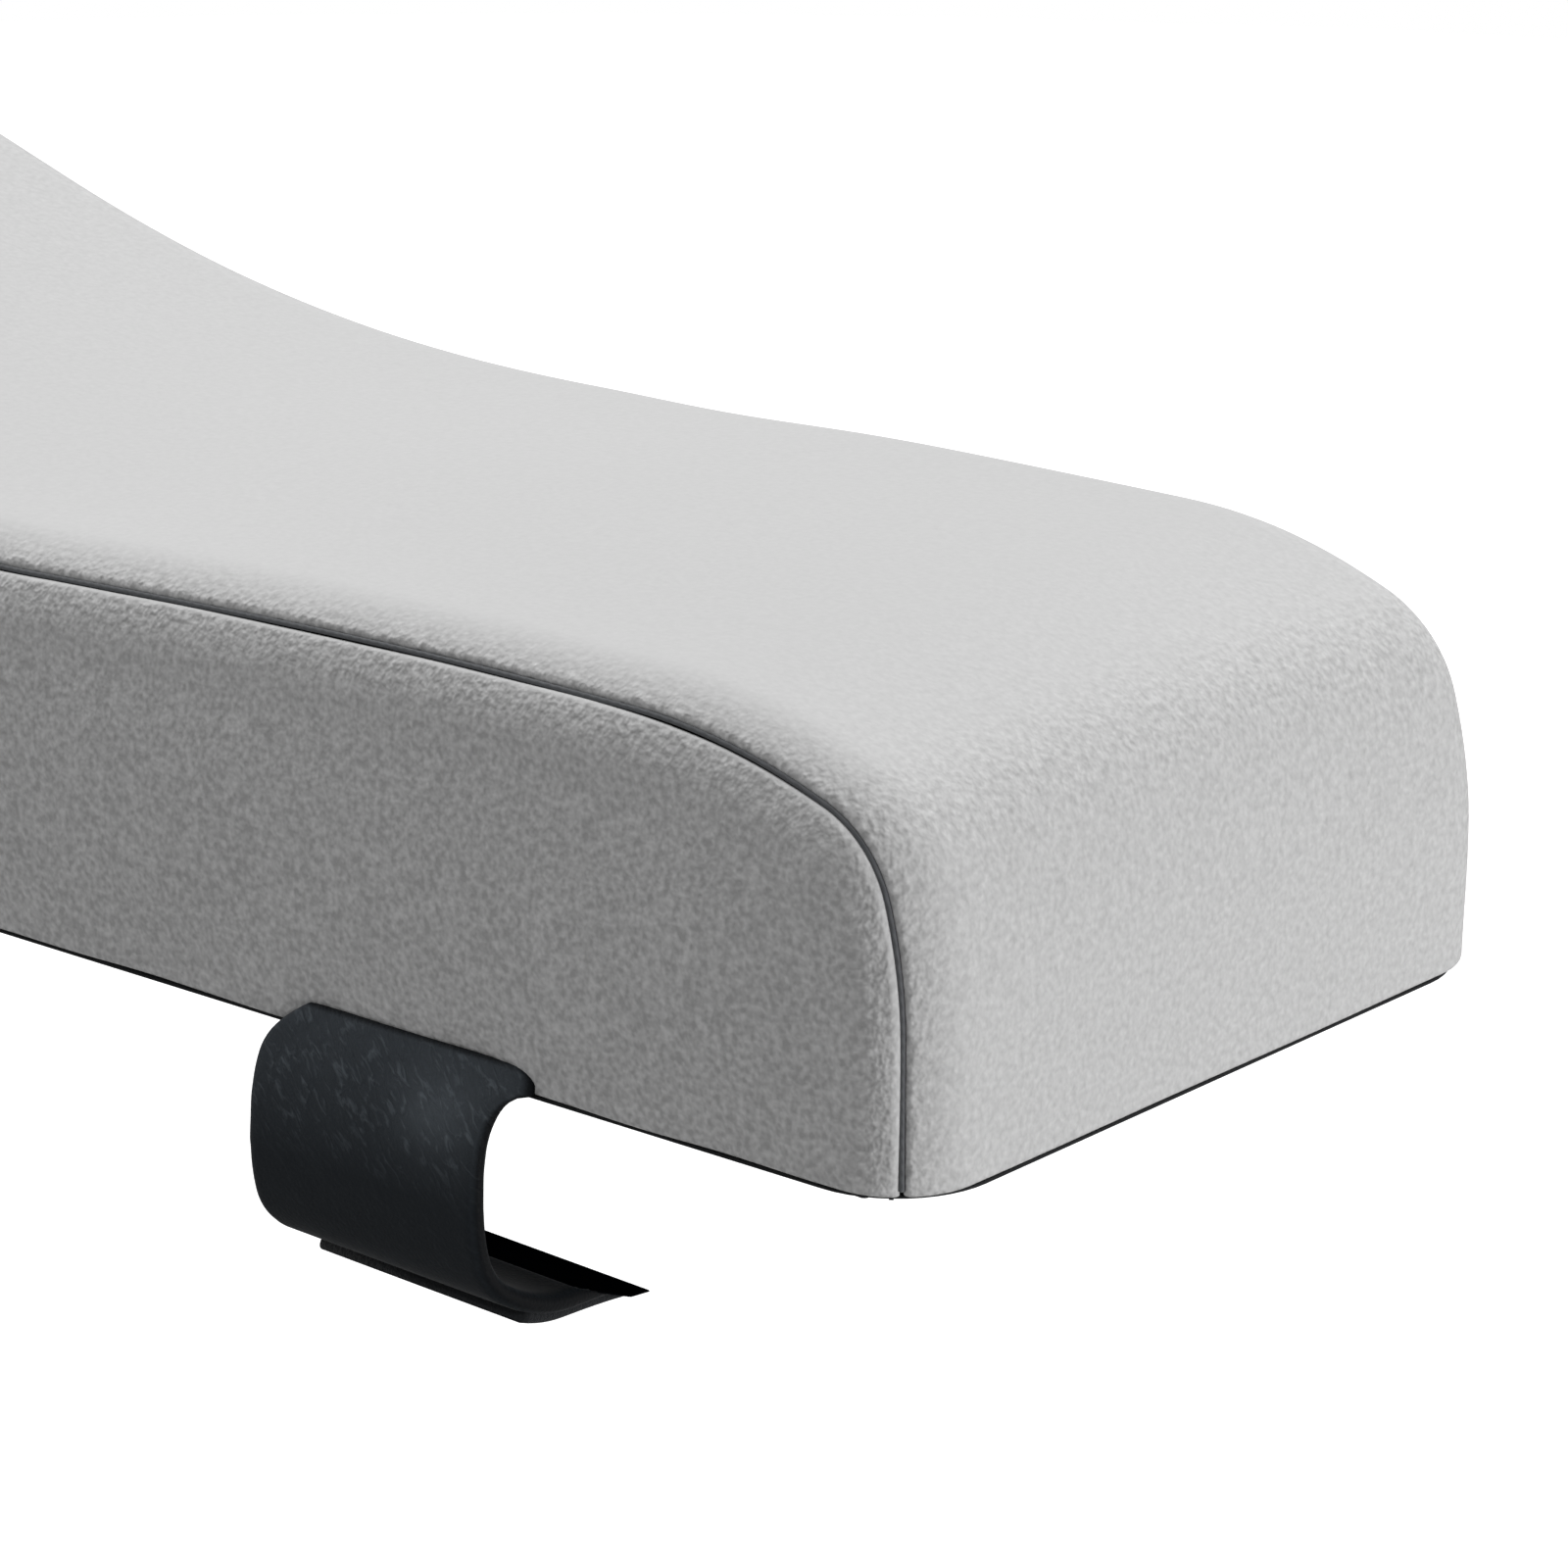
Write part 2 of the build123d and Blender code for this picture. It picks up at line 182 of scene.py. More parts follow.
# ---- Foam core and liner -------------------------------------------------------------------
# A block of slow-recovery foam cut to the pad's form, in a thin knitted sock.  Both are shut
# in by the cover, so their plain solids are kept and only get their finish.
def surface(name, base, roughness, **settings):
    """A material with one Principled shader; returns the material, its tree, the shader and
    the link that fixes a pattern to the piece."""
    made = bpy.data.materials.new(name)
    made.use_nodes = True
    tree = made.node_tree
    tree.nodes.clear()
    shader = node(tree, "BsdfPrincipled", {"Base Color": colour(base), "Roughness": roughness})
    for key, value in settings.items():
        shader.inputs[key.replace("_", " ")].default_value = value
    node(tree, "OutputMaterial", {}, {"Surface": shader.outputs[0]})
    place = node(tree, "TexCoord")
    return made, tree, shader, {"Vector": place.outputs["Object"]}


def finish_node(name, made):
    """Gives a solid that is kept its own finish."""
    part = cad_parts[name]
    part.data.materials.clear()
    part.data.materials.append(made)


# Polyurethane foam: open cells about 0.5 mm wide, so it looks dull and finely pitted.
foam, tree, shader, place = surface("polyurethane_foam", "#EFE6C8", 0.95)
cells = node(tree, "TexVoronoi", {"Scale": 2000.0}, place)
pits = node(tree, "Bump", {"Strength": 0.6, "Distance": 0.0002},
            {"Height": cells.outputs["Distance"]})
tree.links.new(pits.outputs[0], shader.inputs["Normal"])
finish_node("foam_core", foam)

# Polyester jersey: fine ribs about 0.6 mm apart along the pad.
jersey, tree, shader, place = surface("polyester_jersey", "#2B2C2E", 0.9)
ribs = node(tree, "TexWave", {"Scale": 520.0, "Distortion": 0.4, "bands_direction": "Y"}, place)
knit = node(tree, "Bump", {"Strength": 0.5, "Distance": 0.0001}, {"Height": ribs.outputs["Fac"]})
tree.links.new(knit.outputs[0], shader.inputs["Normal"])
finish_node("foam_liner", jersey)


# ---- Top panel of the cover ----------------------------------------------------------------
# One strip of soft brushed cloth with a grained face runs up the front end, along the top and
# down the rear end.  Its long edges roll into the side seams half way round the pad's edge.
AHEAD = Vector((1, 0, 0))
LEFTWARD = Vector((0, 1, 0))
UP = Vector((0, 0, 1))
half_length = 140.0
half_width = 47.5
edge_radius = 9.0
hem_height = 0.35            # the cover's lower edge
hem_radius = 0.7
lip_radius = 0.85
seam_gap = 0.16              # half the width left between the two rolled edges
dive = 1.5                   # how far an edge goes in behind its roll
weld = 0.02                  # points closer than this become one
hem_steps = 4
hem_tuck = 1.6               # how far the hem goes in under the foam
seam_tilt = 49.0             # of the seam round the pad's edge, down from its top
lip_share = math.degrees(math.asin((lip_radius + seam_gap) / (edge_radius - lip_radius)))
lip_turn = 90 + lip_share
# The pad's line from the front hem to the rear hem: a run has a length and no turn, a bend
# has a radius and a turn in degrees, plus to the left; the last number is how many steps.
pad_line = [
    (15.8 - hem_height - hem_radius, 0, 6),
    (50.0, -16.0, 8),
    (15.5, -54.0, 16),
    (72.5, -20.0, 14),
    (1950.0, -2.4, 30),
    (250.0, 20.3, 34),
    (15.486, 0, 6),
    (66.0, -37.9, 18),
    (26.0, -70.0, 20),
    (34.473 - hem_height - hem_radius, 0, 14),
]


def on_plane(heading, ahead, up):
    """Unit vectors forward and to the left of a heading in the plane of ahead and up."""
    angle = math.radians(heading)
    forward = ahead * math.cos(angle) + up * math.sin(angle)
    return forward, up * math.cos(angle) - ahead * math.sin(angle)


def trace(shape, parts, at, heading, moves, ahead, up):
    """Draws on from a point, or sweeps a line of points, along runs and bends.
    Lengths are in millimetres; returns the last parts, place and heading."""
    for size, turn, steps in moves:
        forward, left = on_plane(heading, ahead, up)
        if turn:
            centre = at + left * (math.copysign(size, turn) * mm)
            spun = bmesh.ops.spin(shape, geom=parts, cent=centre, axis=ahead.cross(up),
                                  angle=math.radians(turn), steps=steps)
            heading += turn
            left_after = on_plane(heading, ahead, up)[1]
            at = centre - left_after * (math.copysign(size, turn) * mm)
        else:
            step = forward * (size * mm / steps)
            spun = bmesh.ops.spin(shape, geom=parts, cent=at, axis=ahead.cross(up),
                                  dvec=step, angle=0.0, steps=steps)
            at = at + forward * (size * mm)
        parts = spun["geom_last"]
    return parts, at, heading


def drawn_line(shape, at, heading, moves, ahead, up):
    """A chain of edges drawn from a point; returns its vertices and edges as one list."""
    start = shape.verts.new(at)
    before = set(shape.verts) | set(shape.edges)
    trace(shape, [start], at, heading, moves, ahead, up)
    after = [part for part in [*shape.verts, *shape.edges] if part not in before]
    return [start, *after]


def lip_start(side, hand):
    """Where a panel's edge starts, deep in the seam of a side.
    hand is 1 for the top strip and -1 for the side panel."""
    tilt = math.radians(seam_tilt)
    normal = LEFTWARD * (side * math.sin(tilt)) + AHEAD * math.cos(tilt)
    along = LEFTWARD * (-side * math.cos(tilt)) + AHEAD * math.sin(tilt)
    corner = Vector((half_length - edge_radius, side * (half_width - edge_radius), 0))
    reach = edge_radius - lip_radius
    across = hand * (lip_radius + seam_gap)
    centre = corner + normal * math.sqrt(reach ** 2 - across ** 2) + along * across
    wall = centre - along * (hand * lip_radius)
    height = UP * (hem_height + hem_radius)
    return (wall - normal * dive + height) * mm


def shaped(shape, name):
    """Joins what meets, points the faces outwards and makes a smooth piece of the shape."""
    bmesh.ops.remove_doubles(shape, verts=shape.verts, dist=weld * mm)
    bmesh.ops.recalc_face_normals(shape, faces=shape.faces)
    mesh = bpy.data.meshes.new(name)
    shape.to_mesh(mesh)
    shape.free()
    mesh.shade_smooth()
    piece = bpy.data.objects.new(name, mesh)
    bpy.context.collection.objects.link(piece)
    return piece


def only(kind, parts):
    """The vertices, edges or faces among the parts that an operator gives back."""
    return [part for part in parts if isinstance(part, kind)]


def turn_under(shape):
    """Rolls the lower edge of a cover panel in under the foam."""
    level = (hem_height + hem_radius) * mm
    edges = [e for e in shape.edges if e.is_boundary
             and all(abs(v.co.z - level) < 0.05 * mm for v in e.verts)]
    core_x = (half_length - edge_radius) * mm
    core_y = (half_width - edge_radius) * mm
    last_in = last_down = 0.0
    for step in range(1, hem_steps + 2):
        grown = bmesh.ops.extrude_edge_only(shape, edges=edges)["geom"]
        edges = only(bmesh.types.BMEdge, grown)
        angle = math.radians(min(step, hem_steps) / hem_steps * 90)
        drawn_in = hem_radius * (1 - math.cos(angle)) + (hem_tuck if step > hem_steps else 0)
        down = hem_radius * math.sin(angle)
        for vertex in only(bmesh.types.BMVert, grown):
            x, y = vertex.co.x, vertex.co.y
            core = Vector((max(-core_x, min(core_x, x)), max(-core_y, min(core_y, y))))
            inward = core - Vector((x, y))
            if inward.length > 0:
                inward.normalize()
            vertex.co.x += inward.x * (drawn_in - last_in) * mm
            vertex.co.y += inward.y * (drawn_in - last_in) * mm
            vertex.co.z -= (down - last_down) * mm
        last_in, last_down = drawn_in, down


def uneven(piece, width, depth, seed):
    """Presses cloth in and out a little along its own normals, width apart."""
    shifts = []
    for vertex in piece.data.vertices:
        at = vertex.co / (width * mm) + Vector((seed, 0, 0))
        shifts.append(vertex.normal * (noise.noise(at) * depth * mm))
    for vertex, shift in zip(piece.data.vertices, shifts):
        vertex.co += shift


def swell(at, middle, reach):
    """1 at the middle, and next to nothing two reaches away from it."""
    return math.exp(-((at - middle) / reach) ** 2)


# Where sewing pulls the cover out of true: how far, where along the pad, and how far it reaches.
raised_right = (0.8, 78.0, 45.0)
sunk_left = [(0.8, 134.0, 15.0), (0.75, 42.0, 17.0)]
foot_bulge = (0.5, half_length, 12.0)
foot_bulge_height = (13.0, 9.0)
pull_low, pull_high = 12.0, 28.0     # the top moves fully, the foot of a side not at all


def pulled(shape):
    """Pulls the cover a little out of true: up along the right side behind the nose, down in
    two places along the left side, and out at the foot of its front corner."""
    for vertex in shape.verts:
        x, y, z = vertex.co / mm
        high = max(0.0, min(1.0, (z - pull_low) / (pull_high - pull_low)))
        right = max(0.0, -y / half_width)
        left = max(0.0, y / half_width) ** 2
        amount, *span = raised_right
        raised = amount * swell(x, *span) * right
        sunk = sum(amount * swell(x, *span) for amount, *span in sunk_left) * left
        vertex.co.z += (raised - sunk) * high * mm
        amount, *span = foot_bulge
        vertex.co.x += amount * swell(z, *foot_bulge_height) * swell(x, *span) * left * mm


strip = bmesh.new()
flat_across = 2 * (half_width - edge_radius)
strip_section = [
    (dive, 0, 2),
    (lip_radius, -lip_turn, 7),
    (edge_radius, lip_share - seam_tilt, 8),
    (flat_across, 0, 26),
    (edge_radius, lip_share - seam_tilt, 8),
    (lip_radius, -lip_turn, 7),
    (dive, 0, 2),
]
section = drawn_line(strip, lip_start(-1, 1), 90 + seam_tilt, strip_section, LEFTWARD, AHEAD)
foot = Vector((half_length, 0, hem_height + hem_radius)) * mm
trace(strip, section, foot, 90, pad_line, -AHEAD, UP)

# The top swells a little between its seams.
crown = 0.8
crown_share = 0.85           # of the half width
crown_low = 20.0             # what lies lower is an end face
for vertex in strip.verts:
    share = abs(vertex.co.y) / (half_width * mm) / crown_share
    if vertex.co.z > crown_low * mm and share < 1:
        vertex.co.z += crown * mm * math.cos(share * math.pi / 2) ** 2

# The slit for the zip, with its edges rolled in.
slit_height = 12.0
slit_half = 4.4
slit_reach = 34.8
slit_rolls = [(0.10, 0.36), (0.26, 0.30), (0.44, 0.14), (1.2, 0.0)]     # steps in and closer
slit_end = 0.9               # an end's edge stays within this of its reach
slit_middle = 2.5            # the long edges stay further than this from the slit's middle
rear_face = -139.5           # what lies behind it is the rear end's flat
for point, normal in (
    ((0, 0, slit_height - slit_half), (0, 0, 1)),
    ((0, 0, slit_height + slit_half), (0, 0, 1)),
    ((0, -slit_reach, 0), (0, 1, 0)),
    ((0, slit_reach, 0), (0, 1, 0)),
):
    wall = [f for f in strip.faces if f.calc_center_median().x < rear_face * mm]
    wall_parts = wall + [e for f in wall for e in f.edges] + [v for f in wall for v in f.verts]
    bmesh.ops.bisect_plane(strip, geom=list(set(wall_parts)), dist=1e-7,
                           plane_co=Vector(point) * mm, plane_no=normal)
hole = [
    f for f in strip.faces
    if f.calc_center_median().x < rear_face * mm
    and abs(f.calc_center_median().z - slit_height * mm) < slit_half * mm
    and abs(f.calc_center_median().y) < slit_reach * mm
]
rim = [e for f in hole for e in f.edges if any(g not in hole for g in e.link_faces)]
bmesh.ops.delete(strip, geom=hole, context="FACES")
rim = [e for e in rim if e.is_valid]
for x_in, closer in slit_rolls:
    grown = bmesh.ops.extrude_edge_only(strip, edges=rim)["geom"]
    rim = only(bmesh.types.BMEdge, grown)
    for vertex in only(bmesh.types.BMVert, grown):
        vertex.co.x += x_in * mm
        if abs(abs(vertex.co.y) - slit_reach * mm) < slit_end * mm:
            vertex.co.y -= math.copysign(closer * mm, vertex.co.y)
        if abs(vertex.co.z - slit_height * mm) > slit_middle * mm:
            vertex.co.z -= math.copysign(closer * mm, vertex.co.z - slit_height * mm)
turn_under(strip)
pulled(strip)
top_strip = shaped(strip, "cover_top_strip")
uneven(top_strip, width=34.0, depth=0.12, seed=3.0)

# Brushed microfibre, heather grey.  Its grain is 0.7 mm wide; the nap lies flat on top, where
# arms rest, and stands up on the nose, the ends and the sides.  The grain's pale and dark specks
# are painted stronger on faces turned away from the overhead light and weaker on the ends: painted
# shading of the grain.
microfibre, tree, shader, place = surface(
    "brushed_microfibre", "#D8D8D8", 0.85, Specular_IOR_Level=0.2)
broad = node(tree, "TexNoise", {"Scale": 1350.0, "Detail": 1.0, "Roughness": 0.5}, place)
fine = node(tree, "TexVoronoi", {"Scale": 1500.0, "feature": "SMOOTH_F1", "Smoothness": 0.6}, place)
grain = node(tree, "Math", {"operation": "MULTIPLY_ADD", 1: -0.35},
             {0: fine.outputs["Distance"], 2: broad.outputs["Fac"]})
facing = node(tree, "NewGeometry")
split = node(tree, "SeparateXYZ", {}, {0: facing.outputs["Normal"]})
tilt_share = node(tree, "MapRange", {"From Min": 0.998, "From Max": 0.62, "To Min": 0.1},
                {"Value": split.outputs["Z"]})
endwise = node(tree, "Math", {"operation": "ABSOLUTE"}, {0: split.outputs["X"]})
end_share = node(tree, "MapRange", {"From Min": 0.5, "From Max": 1.0, "To Min": 1.0, "To Max": 0.45},
              {"Value": endwise.outputs[0]})
strength = node(tree, "Math", {"operation": "MULTIPLY"},
                {0: tilt_share.outputs[0], 1: end_share.outputs[0]})
raised = node(tree, "Bump", {"Distance": 0.00030},
              {"Strength": strength.outputs[0], "Height": grain.outputs[0]})
tree.links.new(raised.outputs[0], shader.inputs["Normal"])
# The specks' colour follows the same tilt: painted shading of the grain, stronger on faces away
# from the overhead light.
offset = node(tree, "Math", {"operation": "SUBTRACT", 1: 0.36}, {0: grain.outputs[0]})
grain_and_painted_shade = node(tree, "Math", {"operation": "MULTIPLY_ADD", 2: 0.5},
             {0: offset.outputs[0], 1: strength.outputs[0]})
tint = node(tree, "ValToRGB", {}, {"Fac": grain_and_painted_shade.outputs[0]})
tint.color_ramp.elements[0].position = 0.25
tint.color_ramp.elements[0].color = colour("#C2C2C2")
tint.color_ramp.elements[1].position = 0.75
tint.color_ramp.elements[1].color = colour("#EBEBEB")
tree.links.new(tint.outputs["Color"], shader.inputs["Base Color"])
top_strip.data.materials.append(microfibre)
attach(top_strip, "pad")
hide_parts("top_panel")


# ---- Side panels of the cover --------------------------------------------------------------
# Each is a flat piece of the same cloth, cut to the pad's side view and sewn to the strip all
# round.  The foam behind it makes it belly out a little between the seam and the hem.
belly = 1.1
belly_height = 31.0
belly_fade = 14.0            # length over which it dies out towards each end
strap_centre = 72.25
hem_rise = 2.4               # of the hem, over the root of a strap
rise_shift = 3.0             # the straps flare towards the front end
rise_half = 14.5             # half its length along the hem
rise_slope = 2.5             # length over which it starts and ends
rise_reach = 7.0             # height over which the cloth above it gives
sides = (("right", -1), ("left", 1))


def smooth(share):
    """Rises gently from 0 to 1."""
    share = max(0.0, min(1.0, share))
    return share * share * (3 - 2 * share)


for side_name, side in sides:
    panel = bmesh.new()
    section_moves = [
        (dive, 0, 2),
        (lip_radius, -side * lip_turn, 7),
        (edge_radius, -side * (90 - seam_tilt - lip_share), 8),
    ]
    heading = 90 - side * seam_tilt
    start = lip_start(side, -1)
    section = drawn_line(panel, start, heading, section_moves, LEFTWARD, AHEAD)
    trace(panel, section, foot, 90, pad_line, -AHEAD, UP)
    face_y = side * half_width * mm
    inner = (half_length - edge_radius) * mm
    rim_edges = [
        e for e in panel.edges
        if e.is_boundary and all(abs(v.co.y - face_y) < 1e-6 for v in e.verts)
        and any(v.co.z > foot.z + 0.01 * mm for v in e.verts)
    ]
    count = len(rim_edges)
    hem_line = drawn_line(panel, Vector((inner, face_y, foot.z)), 0,
                          [(2 * (half_length - edge_radius), 0, count)], -AHEAD, UP)
    hem_edges = only(bmesh.types.BMEdge, hem_line)
    bridge = bmesh.ops.bridge_loops(panel, edges=rim_edges + hem_edges)
    rungs = [e for f in bridge["faces"] for e in f.edges
             if e not in rim_edges and e not in hem_edges]
    bmesh.ops.subdivide_edges(panel, edges=list(set(rungs)), cuts=16, use_grid_fill=True)
    bmesh.ops.remove_doubles(panel, verts=panel.verts, dist=weld * mm)
    for vertex in panel.verts:
        if abs(vertex.co.y - face_y) > 1e-6:
            continue
        share = smooth((inner - abs(vertex.co.x)) / (belly_fade * mm))
        rise = math.sin(min(1.0, (vertex.co.z - foot.z) / (belly_height * mm)) * math.pi)
        vertex.co.y += side * belly * mm * share * max(0.0, rise)
    turn_under(panel)
    # The hem rises over the roots of the two straps.
    for vertex in panel.verts:
        off = min(abs(vertex.co.x / mm - end * strap_centre - rise_shift) for end in (1, -1))
        low = 1 - (vertex.co.z / mm - hem_height) / rise_reach
        if off < rise_half and low > 0:
            share = min(1.0, (rise_half - off) / rise_slope) ** 2 * min(1.0, low) ** 2
            vertex.co.z += hem_rise * share * mm
    pulled(panel)
    piece = shaped(panel, f"cover_side_{side_name}")
    uneven(piece, width=16.0, depth=0.3, seed=9.0 + side)
    piece.data.materials.append(microfibre)
    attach(piece, "pad")
    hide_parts(f"side_panel_{side_name}")


# ---- Side seams ----------------------------------------------------------------------------
# A bonded polyester cord is sewn in along the bottom of the groove between strip and side
# panel.  The two rolled edges leave it showing as a thin dark line.
cord_radius = 0.28
cord_depth = 0.48            # its middle, in from the pad's rounded edge


def thread(name, base, roughness, scale, strength):
    """Twisted sewing thread: its strands wind round it, so they show as slanting bands."""
    made, tree, shader, place = surface(name, base, roughness)
    twist = node(tree, "TexWave", {"Scale": scale, "bands_direction": "DIAGONAL"}, place)
    strands = node(tree, "Bump", {"Strength": strength, "Distance": 0.0001},
                   {"Height": twist.outputs["Fac"]})
    tree.links.new(strands.outputs[0], shader.inputs["Normal"])
    return made


thread_grey = thread("bonded_polyester_thread", "#66686B", 0.8, scale=500.0, strength=0.6)
for side_name, side in sides:
    cord = bmesh.new()
    reach = edge_radius - cord_depth
    tilt = math.radians(seam_tilt)
    middle = Vector((half_length - edge_radius + reach * math.cos(tilt),
                     side * (half_width - edge_radius + reach * math.sin(tilt)),
                     hem_height + hem_radius)) * mm
    bmesh.ops.create_circle(cord, segments=8, radius=cord_radius * mm,
                            matrix=Matrix.Translation(middle))
    trace(cord, [*cord.verts, *cord.edges], foot, 90, pad_line, -AHEAD, UP)
    pulled(cord)
    seam_cord = shaped(cord, f"seam_cord_{side_name}")
    seam_cord.data.materials.append(thread_grey)
    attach(seam_cord, "pad")
    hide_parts(f"seam_thread_{side_name}")


# ---- Base panel ----------------------------------------------------------------------------
# A sheet of black warp knit with its edge turned in, so that a band along the edge is double.
# It closes the cover from below, and is notched where the straps come out of the base seam.
base_length = 279.6
base_width = 94.6
base_corner = 11.0
base_low = 0.2
hem_low = 0.0
base_high = 0.35
base_rounding = 0.16
hem_band = 7.5
slot_half = 16.0
slot_shift = 2.8             # towards the front end, as the straps flare
slot_edge = 45.1


def rounded_sheet(length, width, corner, segments):
    """A flat rectangle with round corners, as a new shape."""
    shape = bmesh.new()
    bmesh.ops.create_grid(shape, x_segments=1, y_segments=1, size=0.5)
    bmesh.ops.scale(shape, verts=shape.verts, vec=(length * mm, width * mm, 1))
    bmesh.ops.bevel(shape, geom=list(shape.verts), offset=corner * mm, affect="VERTICES",
                    segments=segments, profile=0.5, material=-1)
    return shape


def thickened(shape, high, low):
    """Makes a flat sheet solid between two heights; returns its lower faces."""
    bmesh.ops.translate(shape, verts=shape.verts, vec=(0, 0, high * mm))
    lower = bmesh.ops.extrude_face_region(shape, geom=list(shape.faces))["geom"]
    bmesh.ops.translate(shape, verts=only(bmesh.types.BMVert, lower),
                        vec=(0, 0, (low - high) * mm))
    return only(bmesh.types.BMFace, lower)


def woven(tree, shader, place, weft, warp, strength, distance):
    """Raises a cloth's face where two sets of threads cross; weft and warp are wave settings."""
    threads = [node(tree, "TexWave", settings, place) for settings in (weft, warp)]
    crossing = node(tree, "Math", {"operation": "MULTIPLY"},
                    {0: threads[0].outputs["Fac"], 1: threads[1].outputs["Fac"]})
    raised = node(tree, "Bump", {"Strength": strength, "Distance": distance},
                  {"Height": crossing.outputs[0]})
    tree.links.new(raised.outputs[0], shader.inputs["Normal"])


base = rounded_sheet(base_length, base_width, base_corner, segments=12)
cuts = [(sign * strap_centre + slot_shift + offset, 0) for sign in (-1, 1)
        for offset in (-slot_half, slot_half)]
cuts += [(0, -slot_edge), (0, slot_edge)]
for x, y in cuts:
    everything = [*base.verts, *base.edges, *base.faces]
    bmesh.ops.bisect_plane(base, geom=everything, dist=1e-7, plane_co=(x * mm, y * mm, 0),
                           plane_no=(1, 0, 0) if x else (0, 1, 0))
notches = [f for f in base.faces
           if min(abs(f.calc_center_median().x - (sign * strap_centre + slot_shift) * mm)
                  for sign in (-1, 1)) < slot_half * mm
           and abs(f.calc_center_median().y) > slot_edge * mm]
bmesh.ops.delete(base, geom=notches, context="FACES")
lower_faces = thickened(base, base_high, hem_low)
bmesh.ops.inset_region(base, faces=lower_faces, thickness=hem_band * mm)
bmesh.ops.translate(base, verts=list({v for f in lower_faces for v in f.verts}),
                    vec=(0, 0, (base_low - hem_low) * mm))
bmesh.ops.recalc_face_normals(base, faces=base.faces)
rims = [e for e in base.edges if e.calc_face_angle(0) > math.radians(60)]
bmesh.ops.bevel(base, geom=rims, offset=base_rounding * mm, affect="EDGES", segments=3,
                profile=0.5, material=-1)
base_sheet = shaped(base, "base_cloth_panel")

# Its loops stand in rows and columns 0.75 mm apart, which shows as a fine even knit.
knit_black, tree, shader, place = surface("black_warp_knit", "#15171A", 0.85)
woven(tree, shader, place, {"Scale": 420.0, "bands_direction": "X"},
      {"Scale": 420.0, "bands_direction": "Y"}, strength=0.6, distance=0.00015)
base_sheet.data.materials.append(knit_black)
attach(base_sheet, "pad")
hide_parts("base_panel")


# ---- Lock stitch round the base ------------------------------------------------------------
# A line of lock stitches in black nylon thread, one every 4 mm, runs round the base panel and
# holds its turned edge down.
def stations(at, heading, moves, pitch):
    """Places and headings about a pitch apart along runs and bends, in millimetres."""
    found = []
    for size, turn in moves:
        length = math.radians(abs(turn)) * size if turn else size
        count = max(1, round(length / pitch))
        for step in range(count):
            share = (step + 0.5) / count
            angle = math.radians(heading + turn * share)
            if turn:
                reach = math.copysign(size, turn)
                begin = math.radians(heading)
                centre = at + Vector((-math.sin(begin), math.cos(begin))) * reach
                spot = centre - Vector((-math.sin(angle), math.cos(angle))) * reach
            else:
                spot = at + Vector((math.cos(angle), math.sin(angle))) * (size * share)
            found.append((spot, angle))
        if turn:
            heading += turn
            angle = math.radians(heading)
            at = centre - Vector((-math.sin(angle), math.cos(angle))) * reach
        else:
            at = at + Vector((math.cos(angle), math.sin(angle))) * size
    return found


def stitch(shape, middle, along, normal, length, thickness):
    """One stitch: a short drawn-out bead that lies along a direction, in metres."""
    across = normal.cross(along)
    turn = Matrix((along, across, normal)).transposed().to_4x4()
    size = Matrix.Diagonal((length / 2, thickness / 2, thickness / 2, 1))
    bmesh.ops.create_uvsphere(shape, u_segments=6, v_segments=5, radius=1,
                              matrix=Matrix.Translation(middle) @ turn @ size)


seam_inset = 4.05            # from the edge of the base panel
seam_x = base_length / 2 - seam_inset
seam_y = base_width / 2 - seam_inset
seam_corner = base_corner - seam_inset
seam_low = 0.03
seam_pitch = 4.0
seam_stitch = 3.1
seam_thread = 0.5
base_stitches = bmesh.new()
loop_moves = [(2 * (seam_x - seam_corner), 0), (seam_corner, 90),
              (2 * (seam_y - seam_corner), 0), (seam_corner, 90)] * 2
loop_start = Vector((seam_corner - seam_x, -seam_y))
for spot, angle in stations(loop_start, 0, loop_moves, seam_pitch):
    along = Vector((math.cos(angle), math.sin(angle), 0))
    stitch(base_stitches, Vector((spot.x, spot.y, seam_low)) * mm, along, -UP,
           seam_stitch * mm, seam_thread * mm)
base_thread = shaped(base_stitches, "base_lock_stitch")
thread_black = thread("black_nylon_thread", "#0D0E10", 0.55, scale=900.0, strength=0.5)
base_thread.data.materials.append(thread_black)
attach(base_thread, "pad")
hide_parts("base_seam_thread")


# ---- Anti-slip sheet -----------------------------------------------------------------------
# A thin scrim under the base panel with dots of silicone rubber printed on it.  The dots
# stand 0.14 mm proud and rest on the chair's arm.
grip_length = 236.0
grip_width = 66.0
grip_corner = 10.0
dot_pitch = 6.0
dot_radius = 1.2
dot_face = 0.72              # its lower face's share of that radius
dot_height = 0.16
dot_middle = 0.06
dot_side_margin = 3.0
dot_end_margin = 4.0
scrim_low = 0.12
scrim_high = 0.32
scrim = rounded_sheet(grip_length, grip_width, grip_corner, segments=10)
thickened(scrim, scrim_high, scrim_low)
row_pitch = dot_pitch * math.sin(math.radians(60))
rows_half = int((grip_width / 2 - dot_side_margin) / row_pitch)
for row in range(-rows_half, rows_half + 1):
    shift = dot_pitch / 2 if row % 2 else 0
    half_count = int((grip_length / 2 - dot_end_margin - shift) / dot_pitch)
    for column in range(-half_count, half_count + 1):
        spot = Vector((column * dot_pitch + shift, row * row_pitch, dot_middle))
        bmesh.ops.create_cone(
            scrim, cap_ends=True, segments=10, radius1=dot_radius * dot_face * mm,
            radius2=dot_radius * mm, depth=dot_height * mm,
            matrix=Matrix.Translation(spot * mm))
scrim_sheet = shaped(scrim, "anti_slip_sheet")

